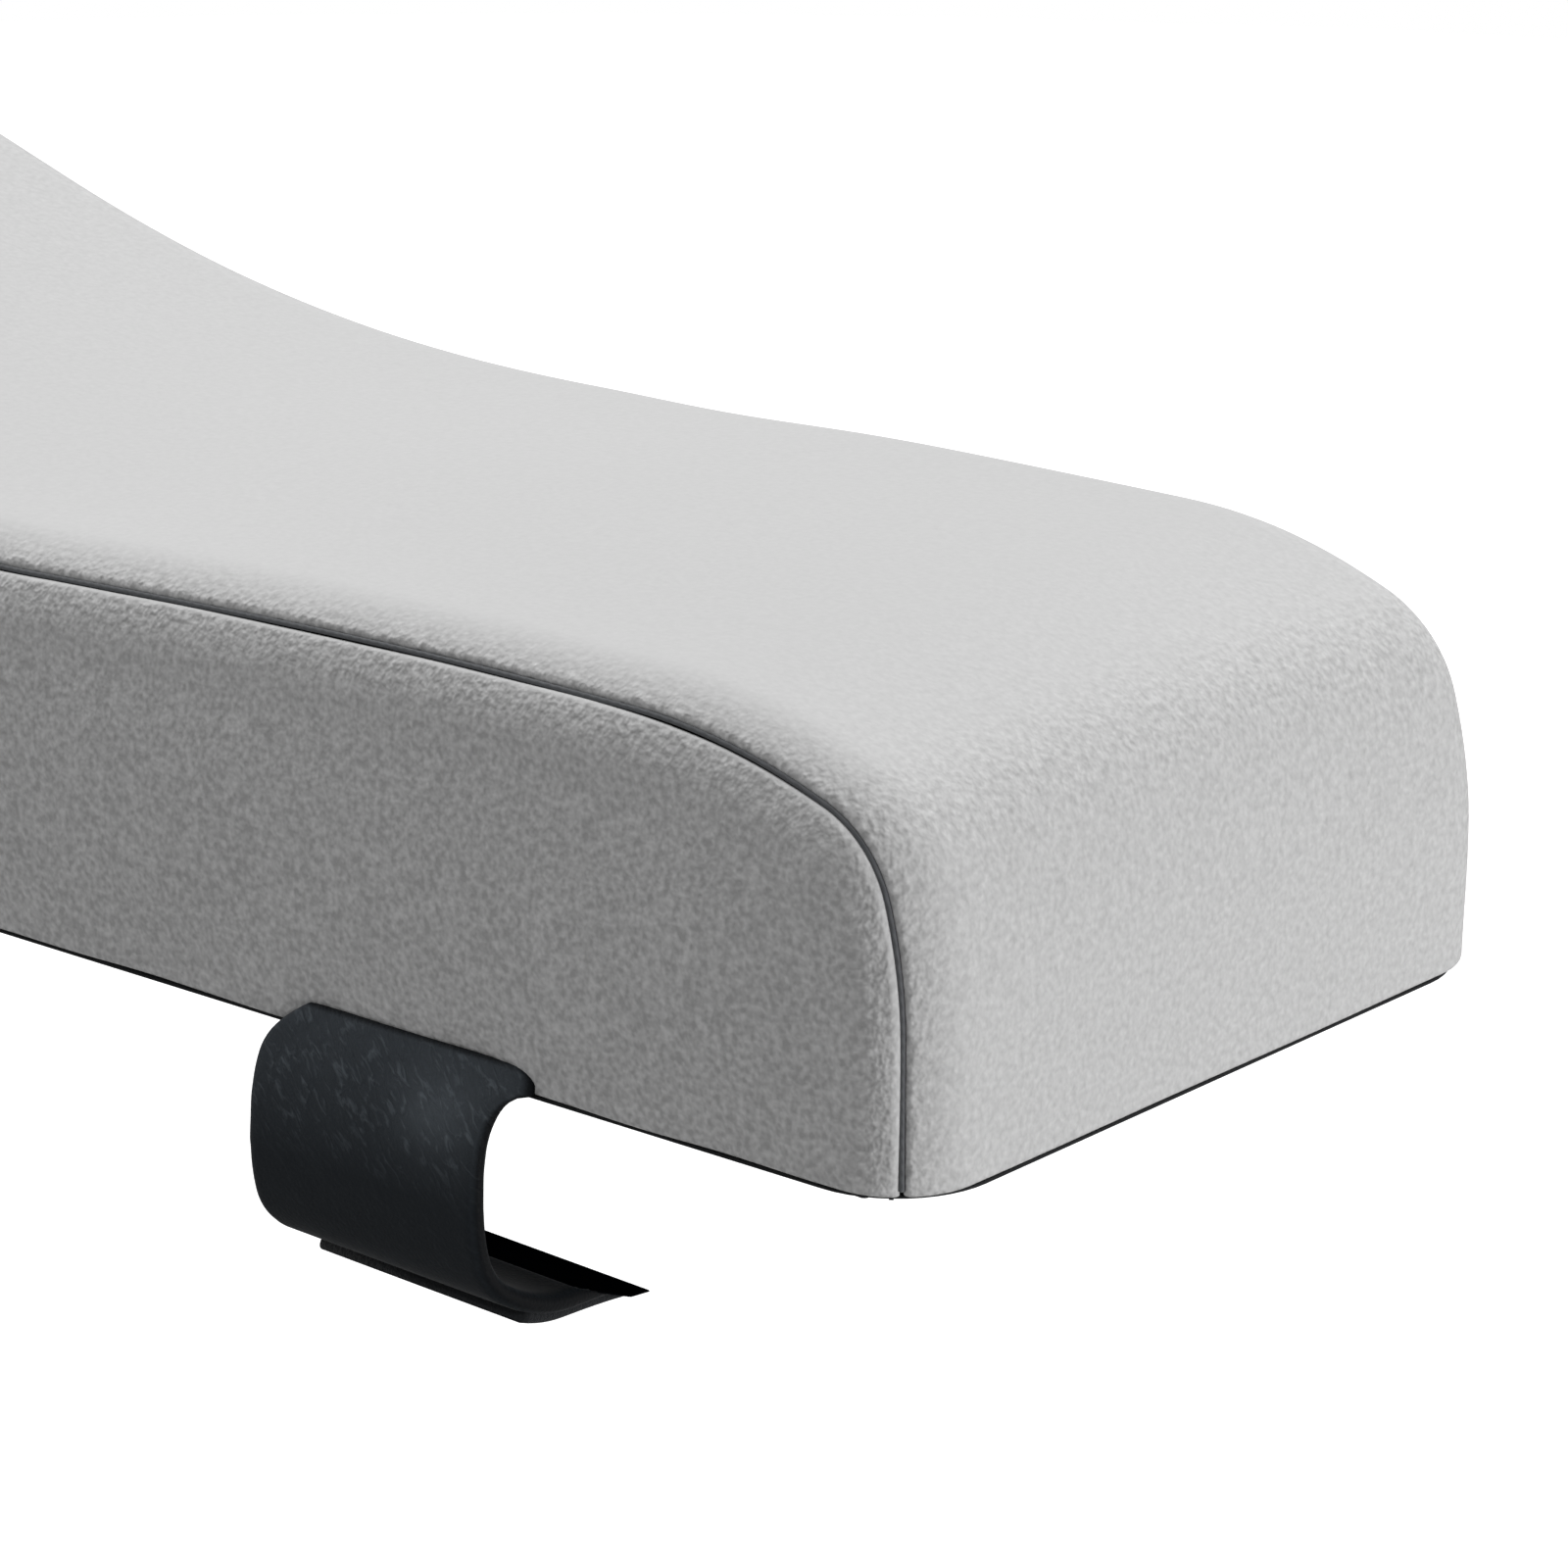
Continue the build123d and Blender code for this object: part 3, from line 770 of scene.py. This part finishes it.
# Silicone rubber, moulded by printing: half dull, and duller in patches where dust clings.
rubber, tree, shader, place = surface("silicone_rubber", "#1B1C1E", 0.42)
dust = node(tree, "TexNoise", {"Scale": 1500.0, "Detail": 2.0}, place)
matte = node(tree, "MapRange", {"To Min": 0.36, "To Max": 0.6}, {"Value": dust.outputs["Fac"]})
tree.links.new(matte.outputs[0], shader.inputs["Roughness"])
scrim_sheet.data.materials.append(rubber)
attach(scrim_sheet, "pad")
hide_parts("grip_sheet")


# ---- Half straps ---------------------------------------------------------------------------
# Each is a folded band of soft coated leather with rolled edges, sewn flat into the base seam.
# It bends down and under the chair's arm; near its root it is drawn towards the front end.
strap_width = 30.0
strap_thickness = 2.1
root_inboard = 0.6
root_height = 1.7
root_droop = 50.0
strap_bends = [(5.6, 15.5, 6), (29.0, 35.5, 30), (7.6, 45.0, 16), (22.5, 28.0, 12)]
end_droop = 174.0
fold_droop = 135.0
fold_turn = 22.0             # the fold takes this many degrees to each side
tab_droop = 158.0
tab_thickness = 1.3
reaches = {"right": 22.2, "left": 37.0}
band_edge = strap_thickness / 2
skive_length = 11.2
skive_level = 0.65           # of the cut's end, below the band's lower face
skive_skin = 0.15
root_round = 1.0             # how far a rounded end stands out
tip_round = 0.8
front_spread = 0.85          # of the edge towards the front end
bend_spread = 0.55           # more of it at the lower bend
rear_spread = 0.45
spread_drop, spread_height = 2.0, 5.0       # where it begins below the root
spread_inner, spread_reach = 2.0, 18.0      # and where it dies out under the pad
bend_drop, bend_height = 14.0, 12.0         # the lower bend's start and height
tip_lift = 0.4
ends = (("front", 1), ("rear", -1))


def strap_place(side, droop, outward=0.0):
    """A point of the strap's middle surface, in metres, moved to its outer side."""
    at = Vector((0, root_inboard, root_height))
    now = root_droop
    for radius, turn, _ in strap_bends:
        step = min(turn, max(0.0, droop - now))
        left = on_plane(180 + now, LEFTWARD, UP)[1]
        centre = at + left * radius
        now += step
        left = on_plane(180 + now, LEFTWARD, UP)[1]
        at = centre - left * radius
        if step < turn:
            break
    at -= left * outward
    return Vector((0, -side * (at.y - half_width), at.z)) * mm


def end_run(side_name):
    """Length of the straight end that brings the free end to its reach."""
    start = strap_place(-1, end_droop)
    inboard = start.y / mm + half_width
    return (reaches[side_name] - inboard) / math.cos(math.radians(180 - end_droop))


def thinned(shape, limit, skin=0.0):
    """Cuts the free end at a slant, from its upper face down to a level below the middle,
    and leaves a skin over the cut.  Returns the vertices that were moved."""
    at = strap_place(-1, end_droop) / mm
    forward, left = on_plane(180 + end_droop, LEFTWARD, UP)
    begin = end_run("right") - skive_length
    stack = strap_thickness + tab_thickness
    moved = set()
    for vertex in shape.verts:
        off = vertex.co / mm - at
        off.x = 0
        below = -off.dot(left)
        slant = (off.dot(forward) - begin) / skive_length * stack - band_edge
        slant = min(slant, limit) - (skin if below < 0 else 0)
        if off.dot(forward) > begin and slant > below:
            vertex.co -= left * ((slant - below) * mm)
            moved.add(vertex)
    return moved


def eased(shape, centre):
    """Lets a strap spread a little below its root, most at the lower bend's front edge, and
    lifts its free end on the side away from the front end."""
    for vertex in shape.verts:
        x, y, z = vertex.co / mm
        low = smooth((-z - bend_drop) / bend_height)
        share = 2 * (x - centre) / strap_width
        spread = front_spread + bend_spread * low if share > 0 else rear_spread * (1 - low)
        spread *= smooth((root_height - spread_drop - z) / spread_height)
        spread *= 1 - smooth((y + half_width - spread_inner) / spread_reach)
        vertex.co.x += share * spread * mm
        vertex.co.z += tip_lift * low * (1 - share) * mm


def mirrored(shape, side):
    """Turns a right half into a left one where the side is the left one."""
    if side > 0:
        bmesh.ops.scale(shape, verts=shape.verts, vec=(1, -1, 1))


# Leather with a thin matt coat.  Its pebbles are 0.7 mm wide and its rolled edges are dyed black.
# Light and shade are painted on it as well: darker towards the bottom of the strap and paler
# towards its top, with a painted highlight on the root's front corner and painted shade on the
# top edge, where it goes into the seam.
leather, tree, shader, place = surface(
    "coated_leather", "#262B31", 0.55, Specular_IOR_Level=0.12)
cell = node(tree, "TexVoronoi", {"Scale": 1400.0, "feature": "DISTANCE_TO_EDGE"}, place)
pebble = node(tree, "Bump", {"Strength": 0.45, "Distance": 0.00012},
              {"Height": cell.outputs["Distance"]})
slanting = node(tree, "Mapping", {"vector_type": "TEXTURE", "Rotation": (0.0, -0.8, 0.0),
                                  "Scale": (0.9, 2.0, 2.8)}, place)
wrinkle = node(tree, "TexNoise", {"Scale": 1150.0, "Detail": 3.0, "Roughness": 0.6,
                                  "Distortion": 1.0}, {"Vector": slanting.outputs[0]})
height = node(tree, "SeparateXYZ", {}, {0: place["Vector"]})
near_root = node(tree, "MapRange", {"From Min": -0.012, "From Max": -0.003, "To Min": 0.06},
                 {"Value": height.outputs["Z"]})
creased = node(tree, "Bump", {"Distance": 0.0005},
               {"Strength": near_root.outputs[0], "Height": wrinkle.outputs["Fac"],
                "Normal": pebble.outputs[0]})
tree.links.new(creased.outputs[0], shader.inputs["Normal"])
# Painted shade and light: darker towards the bottom of the strap, paler towards its top.
painted_shade_height = node(tree, "MapRange", {"From Min": -0.030, "From Max": 0.002},
                   {"Value": height.outputs["Z"]})
drawn = node(tree, "ValToRGB", {}, {"Fac": painted_shade_height.outputs[0]})
drawn.color_ramp.elements.new(0.56)
for stop, tone in zip(drawn.color_ramp.elements, ("#14181B", "#24292E", "#4B5157")):
    stop.color = colour(tone)
# Paler streaks along the creases near the root, and the painted highlight, mix a pale grey into the
# painted shading.
crease_streaks = node(tree, "MapRange", {"From Min": 0.53, "From Max": 0.70, "To Max": 0.6},
              {"Value": wrinkle.outputs["Fac"]})
# A painted highlight on the front corner of the root.
corner_highlight = node(tree, "Attribute", {"attribute_name": "corner_highlight_share"})
corner_highlight_here = node(tree, "Math", {"operation": "MULTIPLY", 1: 0.45}, {0: corner_highlight.outputs["Fac"]})
streaks_and_painted_highlight = node(tree, "Math", {"operation": "MULTIPLY_ADD"},
                   {0: crease_streaks.outputs[0], 1: near_root.outputs[0], 2: corner_highlight_here.outputs[0]})
painted_light_and_streaks = node(tree, "Mix", {"data_type": "RGBA", 7: colour("#727A81")},
            {0: streaks_and_painted_highlight.outputs[0], 6: drawn.outputs["Color"]})
# Black dye on the long edges and the skived cut, and painted shade on the top edge where it goes
# into the seam.
edge_dye_and_seam_shade = node(tree, "Attribute", {"attribute_name": "edge_dye_and_seam_shade"})
dye_and_shade_tint = node(tree, "Mix", {"data_type": "RGBA", 7: colour("#07090C")},
                 {0: edge_dye_and_seam_shade.outputs["Fac"], 6: painted_light_and_streaks.outputs[2]})
tree.links.new(dye_and_shade_tint.outputs[2], shader.inputs["Base Color"])

# The skived cut shows the leather's split side, dyed black: short fibres with no shine.
split_leather, tree, shader, place = surface(
    "split_leather", "#050608", 1.0, Specular_IOR_Level=0.0)
fibres = node(tree, "TexNoise", {"Scale": 2500.0, "Detail": 2.0}, place)
nap = node(tree, "Bump", {"Strength": 0.5, "Distance": 0.0001}, {"Height": fibres.outputs["Fac"]})
tree.links.new(nap.outputs[0], shader.inputs["Normal"])

root_depth = 12.0            # how far the root reaches below the base
root_inner = 3.0             # and inwards from the pad's side
dye_width = 0.5              # of the black dye along the long edges
seam_shade_top = 0.7                # where the painted seam shade starts on the top edge, above the root's middle
seam_shade_fade = 0.4
top_level = 1.0              # of the top edge, above the root's middle
highlight_across = (9.0, 4.5)    # where the painted highlight lies across the strap, and how far it reaches
highlight_drop = (5.5, 3.5)
crease_ahead, crease_down = 0.62, 0.78      # the direction across the slack creases
crease_width = 2.4
crease_length = 8.0
crease_depth = 0.32
crease_start = 3.0
crease_fade = 9.0
flare = 5.6                  # of the root's front edge, drawn towards the front end
flare_start = 2.3
flare_reach = 6.2
flare_roundness = 0.7
flare_nick = 1.8             # taken off again close to the top edge
flare_nick_height = 1.3
rear_cut = 5.4               # off the root's other top corner
rear_cut_height = 5.5
proud_out, proud_up = 0.7, 0.5              # of the top edge
proud_height = 4.5


def drawn_forward(across, drop):
    """How far the root is drawn towards the front end, at a place across the strap from its
    middle line and at a drop below its top edge."""
    if across > 0:
        share = max(0.0, 1 - max(0.0, drop - flare_start) / flare_reach)
        arc = 1 - math.sqrt(1 - share ** 2)
        shift = flare * (flare_roundness * arc + (1 - flare_roundness) * share ** 2)
        shift -= flare_nick * max(0.0, 1 - drop / flare_nick_height) ** 2
    else:
        shift = rear_cut * max(0.0, 1 - drop / rear_cut_height) ** 2
    return shift * (across / (strap_width / 2)) ** 2


def work_leather(shape, end, side, cut_face):
    """Dyes the edges and the cut of a band, paints a highlight and the seam's shade on it, and
    works its root.
    """
    dye_and_shade_layer = shape.verts.layers.float.new("edge_dye_and_seam_shade")
    corner_highlight_layer = shape.verts.layers.float.new("corner_highlight_share")
    shape.normal_update()
    for vertex in shape.verts:
        across = vertex.co.x / mm - end * strap_centre
        height = vertex.co.z / mm
        drop = max(0.0, root_height + top_level - height)
        near_root = height > -root_depth and vertex.co.y / mm < -half_width + root_inner
        dye_and_shade = smooth((abs(across) - strap_width / 2 + dye_width) / dye_width)
        if vertex in cut_face:
            dye_and_shade = 1.0
        # Painted shade: the top edge is painted black where it goes into the seam.
        if near_root:
            dye_and_shade = max(dye_and_shade, smooth((height - root_height - seam_shade_top) / seam_shade_fade))
        vertex[dye_and_shade_layer] = dye_and_shade
        # A painted highlight on the front corner of the root.
        vertex[corner_highlight_layer] = swell(across, *highlight_across) * swell(drop, *highlight_drop)
        if not near_root:
            continue
        # Slack creases run down and forward from the seam.
        along = (across * crease_ahead + drop * crease_down) / crease_width
        over = (across * crease_down - drop * crease_ahead) / crease_length
        fold = noise.noise(Vector((along + 3 * end, over, 5.0 + side)))
        slack = crease_depth * math.exp(-drop / crease_fade) * min(1.0, drop / crease_start)
        vertex.co += vertex.normal * (fold * slack * mm)
        vertex.co.x += drawn_forward(across, drop) * mm
        # The top edge stands a little proud of the cover.
        proud = max(0.0, 1 - drop / proud_height) ** 2
        vertex.co.y -= proud_out * proud * mm
        vertex.co.z += proud_up * proud * mm


def round_off(shape, loop, droop, way, depth):
    """Closes an end of the band with a rounded edge; way is 1 for the free end and -1 for the
    root."""
    forward, normal = on_plane(180 + droop, LEFTWARD, UP)
    middle = sum((v.co for e in loop for v in e.verts), Vector()) / (2 * len(loop))
    for degrees in (30, 60, 90):
        grown = bmesh.ops.extrude_edge_only(shape, edges=loop)["geom"]
        loop = only(bmesh.types.BMEdge, grown)
        before = math.cos(math.radians(degrees - 30))
        shrink = max(0.02, math.cos(math.radians(degrees))) / before
        step = math.sin(math.radians(degrees)) - math.sin(math.radians(degrees - 30))
        for vertex in only(bmesh.types.BMVert, grown):
            off = (vertex.co - middle).dot(normal)
            vertex.co += normal * (off * (shrink - 1))
            vertex.co += forward * (way * step * depth * mm)
    bmesh.ops.contextual_create(shape, geom=loop)


for end_name, end in ends:
    for side_name, side in sides:
        spot = f"{end_name}_{side_name}"
        band = bmesh.new()
        left = on_plane(180 + root_droop, LEFTWARD, UP)[1]
        root = Vector((end * strap_centre, root_inboard - half_width, root_height)) * mm
        flat = strap_width - 2 * band_edge
        corner = root - AHEAD * (flat / 2 * mm) - left * (band_edge * mm)
        ring_moves = [(flat, 0, 44), (band_edge, 180, 6), (flat, 0, 44), (band_edge, 180, 6)]
        drawn_line(band, corner, 0, ring_moves, AHEAD, left)
        bmesh.ops.remove_doubles(band, verts=band.verts, dist=weld * mm)
        first = list(band.edges)
        moves = strap_bends + [(end_run(side_name), 0, 22)]
        last = trace(band, [*band.verts, *band.edges], root, 180 + root_droop, moves,
                     LEFTWARD, UP)[0]
        round_off(band, first, root_droop, -1, root_round)
        round_off(band, only(bmesh.types.BMEdge, last), end_droop, 1, tip_round)
        cut_face = set()
        if side_name == "right":
            cut_face = thinned(band, band_edge + skive_level, skin=skive_skin)
            for face in band.faces:
                face.material_index = 1 if cut_face.issuperset(face.verts) else 0
        work_leather(band, end, side, cut_face)
        eased(band, end * strap_centre)
        mirrored(band, side)
        strap = shaped(band, f"strap_{spot}")
        strap.data.materials.append(leather)
        strap.data.materials.append(split_leather)
        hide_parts(f"strap_band_{spot}", f"strap_tip_{spot}")
        start = strap_place(side, fold_droop - fold_turn)
        stop = strap_place(side, fold_droop + fold_turn)
        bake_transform(strap)


# ---- Strap roots ---------------------------------------------------------------------------
# The flat end of each strap is a doubled tape of woven polyester, sewn between the cover and
# the base panel.  It is shut in by them, so its plain solid is kept.  Its threads are 0.6 mm
# apart one way and 0.45 mm the other, so it looks ribbed.
tape, tree, shader, place = surface("woven_polyester_tape", "#1A1C1F", 0.8)
woven(tree, shader, place, {"Scale": 500.0, "bands_direction": "X"},
      {"Scale": 700.0, "bands_direction": "Y"}, strength=0.7, distance=0.00015)
for end_name, end in ends:
    for side_name, side in sides:
        finish_node(f"anchor_{end_name}_{side_name}", tape)


# ---- Closing tabs --------------------------------------------------------------------------
# A strip of nylon hook or loop pile is sewn on the end of each half strap: loops on the lower
# face of a right half, hooks on the upper face of a left half, so that they close on each other.
tab_inset = 1.5
tab_width = strap_width - 2 * tab_inset
tab_edge = 0.45
tab_short = 0.4              # of the strap's end
tab_skived = 0.12            # what is left of its thickness at the end of the slanting cut
sewn_margin = 1.5            # of the stitches, from the tab's edge
sewn_turn = 4.0              # degrees from the tab's start to the first stitch
sewn_short = 1.6             # of the strap's end
sewn_pitch = 2.6
sewn_length = 2.1
sewn_thread = 0.42
sewn_across = 9

# Nylon loop pile: tufts of fine loops about 0.8 mm wide, dull and soft to the eye.
pile, tree, shader, place = surface(
    "nylon_loop_pile", "#16191D", 0.95, Sheen_Weight=0.15, Sheen_Roughness=0.4)
fluff = node(tree, "TexNoise", {"Scale": 1300.0, "Detail": 4.0, "Roughness": 0.7}, place)
fuzz = node(tree, "Bump", {"Strength": 1.0, "Distance": 0.0004}, {"Height": fluff.outputs["Fac"]})
tree.links.new(fuzz.outputs[0], shader.inputs["Normal"])

# Nylon hook tape: stiff hooks in rows 0.75 mm apart, with a little more shine than the pile.
hooks, tree, shader, place = surface("nylon_hook_tape", "#1A1C1F", 0.6)
ridge = node(tree, "TexWave", {"Scale": 420.0, "bands_direction": "X"}, place)
weave = node(tree, "Bump", {"Strength": 0.8, "Distance": 0.0002}, {"Height": ridge.outputs["Fac"]})
tree.links.new(weave.outputs[0], shader.inputs["Normal"])

for end_name, end in ends:
    for side_name, side in sides:
        spot = f"{end_name}_{side_name}"
        face = 1 if side_name == "right" else -1
        level = face * (band_edge + tab_thickness / 2)
        tab = bmesh.new()
        heading = 180 + tab_droop
        left = on_plane(heading, LEFTWARD, UP)[1]
        middle = strap_place(-1, tab_droop, level) + AHEAD * (end * strap_centre * mm)
        flat = tab_width - 2 * tab_edge
        tall = tab_thickness - 2 * tab_edge
        corner = middle - AHEAD * (flat / 2 * mm) - left * (tab_thickness / 2 * mm)
        ring_moves = [(flat, 0, 18), (tab_edge, 90, 3), (tall, 0, 1), (tab_edge, 90, 3)] * 2
        drawn_line(tab, corner, 0, ring_moves, AHEAD, left)
        bmesh.ops.remove_doubles(tab, verts=tab.verts, dist=weld * mm)
        bmesh.ops.contextual_create(tab, geom=list(tab.edges))
        bend = strap_bends[-1][0] + level
        moves = [(bend, end_droop - tab_droop, 6), (end_run(side_name) - tab_short, 0, 14)]
        last = trace(tab, [*tab.verts, *tab.edges], middle, heading, moves, LEFTWARD, UP)[0]
        bmesh.ops.contextual_create(tab, geom=only(bmesh.types.BMEdge, last))
        if face > 0:
            thinned(tab, band_edge + tab_thickness - tab_skived)
        eased(tab, end * strap_centre)
        mirrored(tab, side)
        name = "loop_tab" if face > 0 else "hook_tab"
        strip_piece = shaped(tab, f"{name}_strip_{spot}")
        strip_piece.data.materials.append(pile if face > 0 else hooks)
        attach(strip_piece, f"tip_{spot}")
        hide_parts(f"{name}_{spot}")

        # The frame of stitches that holds it.
        sewn = bmesh.new()
        outer = face * (band_edge + tab_thickness)
        begin = tab_droop + sewn_turn
        path = strap_place(-1, begin, outer)
        moves = [(strap_bends[-1][0] + outer, end_droop - begin),
                 (end_run(side_name) - sewn_short, 0)]
        rail = stations(Vector((path.y, path.z)) / mm, 180 + begin, moves, sewn_pitch)
        for station, angle in rail:
            along = LEFTWARD * math.cos(angle) + UP * math.sin(angle)
            normal = (UP * math.cos(angle) - LEFTWARD * math.sin(angle)) * -face
            for hand in (-1, 1):
                x = end * strap_centre + hand * (tab_width / 2 - sewn_margin)
                middle = Vector((x, station.x, station.y)) * mm
                stitch(sewn, middle, along, normal, sewn_length * mm, sewn_thread * mm)
        for station, angle in (rail[0], rail[-1]):
            normal = (UP * math.cos(angle) - LEFTWARD * math.sin(angle)) * -face
            for step in range(sewn_across):
                x = end * strap_centre + (step - (sewn_across - 1) / 2) * sewn_pitch
                middle = Vector((x, station.x, station.y)) * mm
                stitch(sewn, middle, AHEAD, normal, sewn_length * mm, sewn_thread * mm)
        eased(sewn, end * strap_centre)
        mirrored(sewn, side)
        frame_stitch = shaped(sewn, f"tab_stitches_{spot}")
        frame_stitch.data.materials.append(thread_black)
        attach(frame_stitch, f"tip_{spot}")
        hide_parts(f"tab_stitching_{spot}")


# ---- Zip -----------------------------------------------------------------------------------
# A nylon coil zip across the rear end lets the foam out for washing.  Its woven tapes are sewn
# behind the slit; the coil's teeth interlock along the middle.
coil_half = 33.0
coil_near = 0.25             # how far a tooth goes over the middle line
coil_far = 2.1
tooth_pitch = 1.3
tooth_thickness = 0.62
tooth_x = -139.55
heel_radius = 0.42
heel_back = 0.25

# Woven polyester, dyed grey: a weave about 0.5 mm wide.
tape_grey, tree, shader, place = surface("woven_zip_tape", "#8F9092", 0.8)
woven(tree, shader, place, {"Scale": 650.0, "bands_direction": "Z", "Distortion": 1.0},
      {"Scale": 500.0, "bands_direction": "Y"}, strength=0.7, distance=0.00012)
finish_node("zip_tape_upper", tape_grey)
finish_node("zip_tape_lower", tape_grey)

# Drawn nylon: smooth and half shiny, with faint lines from the die.
coil_nylon, tree, shader, place = surface("drawn_nylon", "#77787A", 0.38)
drawn = node(tree, "TexNoise", {"Scale": 1800.0, "Detail": 2.0}, place)
lines = node(tree, "Bump", {"Strength": 0.2, "Distance": 0.0001},
             {"Height": drawn.outputs["Fac"]})
tree.links.new(lines.outputs[0], shader.inputs["Normal"])
for level_name, side in (("upper", 1), ("lower", -1)):
    coil = bmesh.new()
    count = int(2 * coil_half / tooth_pitch)
    for step in range(count):
        y = (step - (count - 1) / 2) * tooth_pitch + side * tooth_pitch / 4
        middle = Vector((tooth_x, y, slit_height + side * (coil_far - coil_near) / 2))
        stitch(coil, middle * mm, UP, -AHEAD, (coil_far + coil_near) * mm, tooth_thickness * mm)
        heel = Vector((tooth_x + heel_back, y, slit_height + side * (coil_far - heel_back)))
        bmesh.ops.create_icosphere(coil, subdivisions=1, radius=heel_radius * mm,
                                   matrix=Matrix.Translation(heel * mm))
    teeth = shaped(coil, f"zip_teeth_{level_name}")
    teeth.data.materials.append(coil_nylon)
    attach(teeth, "pad")
    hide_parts(f"zip_coil_{level_name}")

# Die-cast zinc, painted grey: smooth paint with a faint orange peel, on the slider, its pull
# and the two stops.
painted_zinc, tree, shader, place = surface(
    "painted_zinc", "#7C7D80", 0.34, Metallic=0.0, Coat_Weight=0.4)
peel = node(tree, "TexNoise", {"Scale": 900.0, "Detail": 1.0}, place)
skin = node(tree, "Bump", {"Strength": 0.1, "Distance": 0.0001}, {"Height": peel.outputs["Fac"]})
tree.links.new(skin.outputs[0], shader.inputs["Normal"])
for name in ("zip_stops", "zip_slider", "zip_pull"):
    finish_node(name, painted_zinc)


low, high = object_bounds()
